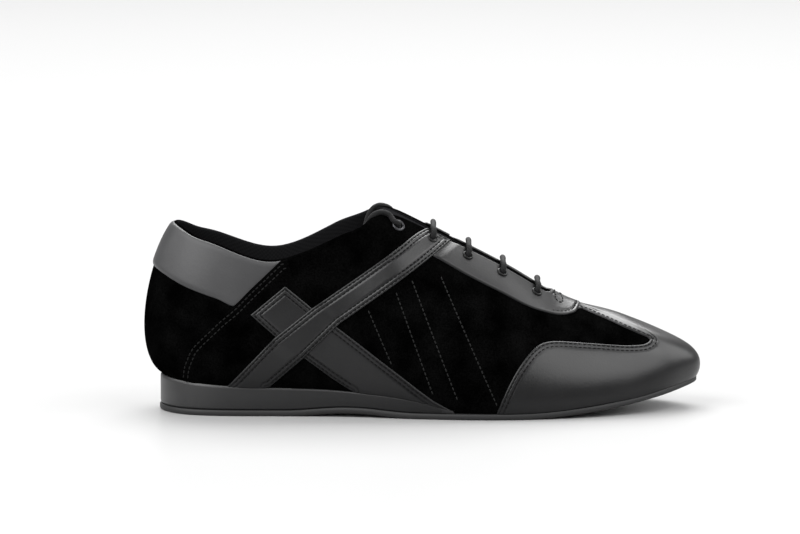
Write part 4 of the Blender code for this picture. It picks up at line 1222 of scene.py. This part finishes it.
def bar_corners(k):
    """Corner points of a bar's middle line: up out of one eyelet, over its ring and the edge of the throat,
    straight across, and down the same way."""
    halves = []
    for inner in (False, True):
        u, centre, normal, _ = eyelet_place(k, inner)
        if k == 0:
            rim_u = ROUND - TOP_RIM if inner else TOP_RIM
            rim = last(rim_u, np.minimum(top_edge(rim_u), 1))
            x, z, out = np.transpose(TOP_ROUTE)
            route = np.column_stack([x, np.interp(x, rim[:, 0], rim[:, 1]) + (out if inner else -out),
                                     z - FAR_LOWER * inner])
            way = unit_vectors(route[0] - centre)
            leaving = BAR_START
        else:
            edge_t = top_edge(u)
            below = np.minimum(edge_t, BAR_EDGE_T)
            edge = last(u, edge_t)
            edge_up = unit_vectors(last(u, below) - last(u, below - BAR_EDGE_STEP))
            route = edge + (cover(k) + BAR_EDGE_HIGH) * last_normal(u, below) + BAR_EDGE_PAST * edge_up
            way = unit_vectors(edge[0] - centre)
            leaving = BAR_START + BAR_ROUTE
        start = [centre + (cover(k) + high) * normal + along * way for high, along in leaving]
        halves.append(np.concatenate([start, route]))
    return halves


def cord(path):
    """A braided cord along a path: a circle whose radius swells over two sets of crossing strands."""
    run = along_line(path)
    heading = unit_vectors(np.gradient(path, axis=0))
    first = unit_vectors(np.cross(heading, np.broadcast_to((1.0, 0.0, 0.0), heading.shape)))
    second = np.cross(heading, first)
    angle = np.linspace(0, 2 * math.pi, LACE_SIDES + 1)
    twist = 2 * math.pi * run[:, None] / BRAID_PITCH * BRAID_STRANDS
    left = np.cos(BRAID_STRANDS * angle + twist)
    right = np.cos(BRAID_STRANDS * angle - twist)
    radius = LACE / 2 - BRAID_DEEP + BRAID_DEEP * np.maximum(left, right)
    ring = np.cos(angle)[:, None] * first[:, None] + np.sin(angle)[:, None] * second[:, None]
    tube = path[:, None] + radius[..., None] * ring
    start, end = np.repeat(path[:1], LACE_SIDES + 1, axis=0), np.repeat(path[-1:], LACE_SIDES + 1, axis=0)
    points = np.concatenate([start[None], tube, end[None]])
    return points.reshape(-1, 3), grid_quads(len(points), LACE_SIDES + 1)[:, ::-1]


# Braided polyester cord: soft, matt black filaments.
cord_black, tree, shader = start_material("black_braid", "#0a0a0b", 0.75)
shader.inputs["Sheen Weight"].default_value = 0.02
shader.inputs["Specular IOR Level"].default_value = 0.22
place = add_node(tree, "ShaderNodeTexCoord").outputs["Object"]
fibre = add_node(tree, "ShaderNodeTexNoise", {"Vector": place, "Scale": 1 / (FIBRE_MM * MM), "Detail": 2.0})
bump = add_node(tree, "ShaderNodeBump",
                {"Height": fibre.outputs["Fac"], "Strength": 0.5, "Distance": 0.1 * MM})
tree.links.new(bump.outputs["Normal"], shader.inputs["Normal"])

for k in range(len(EYELET_ROWS)):
    outer, inner = bar_corners(k)
    span = np.linspace(outer[-1], inner[-1], BAR_POINTS)[1:-1]
    span[:, 2] += BAR_ARCH * np.sin(np.linspace(0, math.pi, BAR_POINTS)[1:-1])
    points, faces = cord(smooth_path(np.concatenate([outer, span, inner[::-1]]), LACE_STEP))
    bar = make_piece(f"lace_bar_cord_{k + 1}", points, faces, (cord_black,), sharp=SOFT_EDGE)
    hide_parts(f"lace_bar_{k + 1}")

# Insole. A thin foam sock covered in the lining's black cloth and dropped into the shoe.
# It follows the sole's outline inside the wall, and its top is slightly cupped.
INSOLE = 3.0
INSOLE_CUP = 0.7
INSOLE_COLUMNS = 181
CUP_WIDE = 40.0
ACROSS = 25
END_CROWD = 0.6
INSOLE_CLEAR = 0.6
GAP = 0.3
SEAT_U = np.linspace(0, TIP, 400)


def seat(x):
    """Height of the upper's lower edge over the floor."""
    c = section(SEAT_U)
    return np.interp(x, c["foot_x"], c["foot_z"])


def sole_slab(name, stations, margin, floor, roof, profile, materials, thin=None, cup=0.0):
    """A flat piece with the sole's outline. At each station its section is a ring: the outer edge upwards,
    across the top, the inner edge downwards, and across the bottom. A profile row gives how far the edge lies
    inside the outline and its share of the height."""
    inset, share = np.transpose(profile)
    thin = np.ones(len(stations)) if thin is None else thin
    sides = []
    for u in (stations, ROUND - stations):
        out_x, out_y = foot_normal(u)
        c = section(u)
        x = c["foot_x"][:, None] + (margin - inset) * out_x[:, None]
        y = c["foot_y"][:, None] + (margin - inset) * out_y[:, None]
        z = floor(x) + share * thin[:, None] * (roof(x) - floor(x))
        sides.append(np.stack([x, y, z], axis=-1))
    outer, inner = sides
    way = np.linspace(0, 1, ACROSS)[1:-1][None, :, None]
    top = outer[:, -1:] * (1 - way) + inner[:, -1:] * way
    bottom = inner[:, :1] * (1 - way) + outer[:, :1] * way
    top[..., 2] = floor(top[..., 0]) + thin[:, None] * (roof(top[..., 0]) - floor(top[..., 0]))
    wide = np.abs(outer[:, -1:, 1] - inner[:, -1:, 1])
    top[..., 2] -= cup * (1 - (2 * way[..., 0] - 1) ** 2) * np.minimum(1, wide / CUP_WIDE)
    bottom[..., 2] = floor(bottom[..., 0])
    ring = np.concatenate([outer, top, inner[:, ::-1], bottom, outer[:, :1]], axis=1)
    flat = np.zeros(ring.shape[1] - 1, dtype=int)
    rows = len(profile)
    flat[rows - 1:rows + ACROSS - 2] = 1
    flat[2 * rows + ACROSS - 3:] = 2
    kind = np.tile(flat, len(stations) - 1)
    faces = grid_quads(len(stations), ring.shape[1])
    return make_piece(name, ring, faces, materials, np.minimum(kind, len(materials) - 1), uv=ring[..., :2])


def end_stations(last_place, count):
    """Places along one side of the sole, closer together at the round heel and toe."""
    share = np.linspace(0, 1, count)
    return last_place * (share - END_CROWD * np.sin(2 * math.pi * share) / (2 * math.pi))


ROUND_EDGE = ((0.9, 0.0), (0.35, 0.06), (0.0, 0.2), (0.0, 0.8), (0.35, 0.94), (0.9, 1.0))
insole = sole_slab("cloth_insole", end_stations(TIP, INSOLE_COLUMNS), -WALL - INSOLE_CLEAR,
                   lambda x: seat(x) + GAP, lambda x: seat(x) + GAP + INSOLE, ROUND_EDGE, (lining_cloth,),
                   cup=INSOLE_CUP)
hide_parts("insole")

# Heel wedge. A low wedge of firm foam wrapped in a smooth black skin.
# It is glued between the upper and the outsole, thickest under the heel, and runs out to nothing at the ball.
ARCH_BACK = 72.0
ARCH_FRONT = 142.0
ARCH_LIFT = 2.0
SPRING_START = 186.0
SPRING_STRAIGHT = 290.0
SPRING_SLOPE = 0.268
SOLE_MARGIN = 0.8
OUTSOLE = 3.2
WEDGE_THIN = 0.8
WEDGE_MARGIN = 0.45
WEDGE_GLUE = 0.05
WEDGE_COLUMNS = 161
WEDGE_CROWD = 1.25
WEDGE_EDGE = ((0.9, 0.0), (0.25, 0.03), (0.0, 0.10), (0.0, 0.88), (0.12, 0.96), (0.5, 1.0))


def ground(x):
    """Height of the outsole's underside over the floor: a low arch at the waist and a rise at the toe."""
    turn = np.clip((x - ARCH_BACK) / (ARCH_FRONT - ARCH_BACK), 0, 1)
    along = np.clip(x - SPRING_START, 0, None)
    bend = SPRING_STRAIGHT - SPRING_START
    spring = np.where(along < bend, SPRING_SLOPE * along ** 2 / (2 * bend), SPRING_SLOPE * (along - bend / 2))
    return ARCH_LIFT * (1 - np.cos(2 * math.pi * turn)) / 2 + spring


def sole_top(x):
    """Height of the outsole's top face, which stays a gap below the upper."""
    return np.minimum(ground(x) + OUTSOLE, seat(x) - GAP)


# Smooth wrap: satin black film with a faint drawn texture. Its shine is cut by painted shade towards the thin
# front end.
WRAP_PAINTED_SHINE = (0.62, 0.27)
WRAP_SHADE_RUN = (20.0, 140.0)
WRAP_GRAIN_MM = 0.8
WRAP_CLOUD_MM = 18.0
wrap, tree, shader = start_material("satin_wedge_wrap", "#0e0e0f", 0.4)
place = add_node(tree, "ShaderNodeTexCoord").outputs["Object"]
along = add_node(tree, "ShaderNodeSeparateXYZ", {"Vector": place})
shine = add_node(tree, "ShaderNodeMapRange",
                 {"Value": along.outputs["X"],
                  "From Min": (WRAP_SHADE_RUN[0] - MIDDLE[0]) * MM, "From Max": (WRAP_SHADE_RUN[1] - MIDDLE[0]) * MM,
                  "To Min": WRAP_PAINTED_SHINE[0], "To Max": WRAP_PAINTED_SHINE[1]})
grain = add_node(tree, "ShaderNodeTexNoise",
                 {"Vector": place, "Scale": 1 / (WRAP_GRAIN_MM * MM), "Detail": 3.0})
cloud = add_node(tree, "ShaderNodeTexNoise",
                 {"Vector": place, "Scale": 1 / (WRAP_CLOUD_MM * MM), "Detail": 2.0})
gloss = add_node(tree, "ShaderNodeMapRange", {"Value": cloud.outputs["Fac"], "To Min": 0.36, "To Max": 0.46})
bump = add_node(tree, "ShaderNodeBump",
                {"Height": grain.outputs["Fac"], "Strength": 0.1, "Distance": 0.1 * MM})
tree.links.new(shine.outputs["Result"], shader.inputs["Specular IOR Level"])
tree.links.new(gloss.outputs["Result"], shader.inputs["Roughness"])
tree.links.new(bump.outputs["Normal"], shader.inputs["Normal"])

c = section(SEAT_U)
wedge_high = c["foot_z"] - sole_top(c["foot_x"]) - 2 * GAP
wedge_front = SEAT_U[np.nonzero((wedge_high > WEDGE_THIN) & (c["foot_x"] < SPRING_START))[0][-1]]
stations = wedge_front * np.linspace(0, 1, WEDGE_COLUMNS) ** WEDGE_CROWD
thin = np.where(np.arange(WEDGE_COLUMNS) < WEDGE_COLUMNS - 1, 1.0, 0.0)
wedge = sole_slab("wrapped_wedge", stations, WEDGE_MARGIN, lambda x: sole_top(x) + WEDGE_GLUE,
                  lambda x: seat(x) - WEDGE_GLUE, WEDGE_EDGE, (wrap,), thin)
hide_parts("heel_wedge")

# Outsole. A thin sheet of black rubber, glued under the wedge and the upper and trimmed flush all round.
# Its underside is finely stippled for grip. Its cut edge is smooth rubber with a faint grain.
STIPPLE_MM = 1.6
TRIM_MM = 0.9
OUTSOLE_COLUMNS = 241
OUTSOLE_EDGE = ((0.8, 0.0), (0.3, 0.06), (0.0, 0.2), (0.0, 0.82), (0.3, 0.95), (0.8, 1.0))

# Cut rubber: dull black, with a fine trimmed grain.
rubber, tree, shader = start_material("black_sole_rubber", "#0d0d0e", 0.6)
shader.inputs["Specular IOR Level"].default_value = 0.5
place = add_node(tree, "ShaderNodeTexCoord").outputs["Object"]
trim = add_node(tree, "ShaderNodeTexNoise", {"Vector": place, "Scale": 1 / (TRIM_MM * MM), "Detail": 3.0})
bump = add_node(tree, "ShaderNodeBump",
                {"Height": trim.outputs["Fac"], "Strength": 0.3, "Distance": 0.15 * MM})
tree.links.new(bump.outputs["Normal"], shader.inputs["Normal"])

# Underside: the same rubber moulded with small round pips.
stipple, tree, shader = start_material("stippled_sole_rubber", "#0e0e0f", 0.65)
place = add_node(tree, "ShaderNodeTexCoord").outputs["Object"]
pips = add_node(tree, "ShaderNodeTexVoronoi",
                {"Vector": place, "Scale": 1 / (STIPPLE_MM * MM), "Randomness": 0.25})
bump = add_node(tree, "ShaderNodeBump",
                {"Height": pips.outputs["Distance"], "Strength": 0.8, "Distance": 0.3 * MM}, invert=True)
tree.links.new(bump.outputs["Normal"], shader.inputs["Normal"])

outsole = sole_slab("rubber_outsole", end_stations(TIP, OUTSOLE_COLUMNS), SOLE_MARGIN, ground, sole_top,
                    OUTSOLE_EDGE, (rubber, rubber, stipple))
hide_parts("outsole")
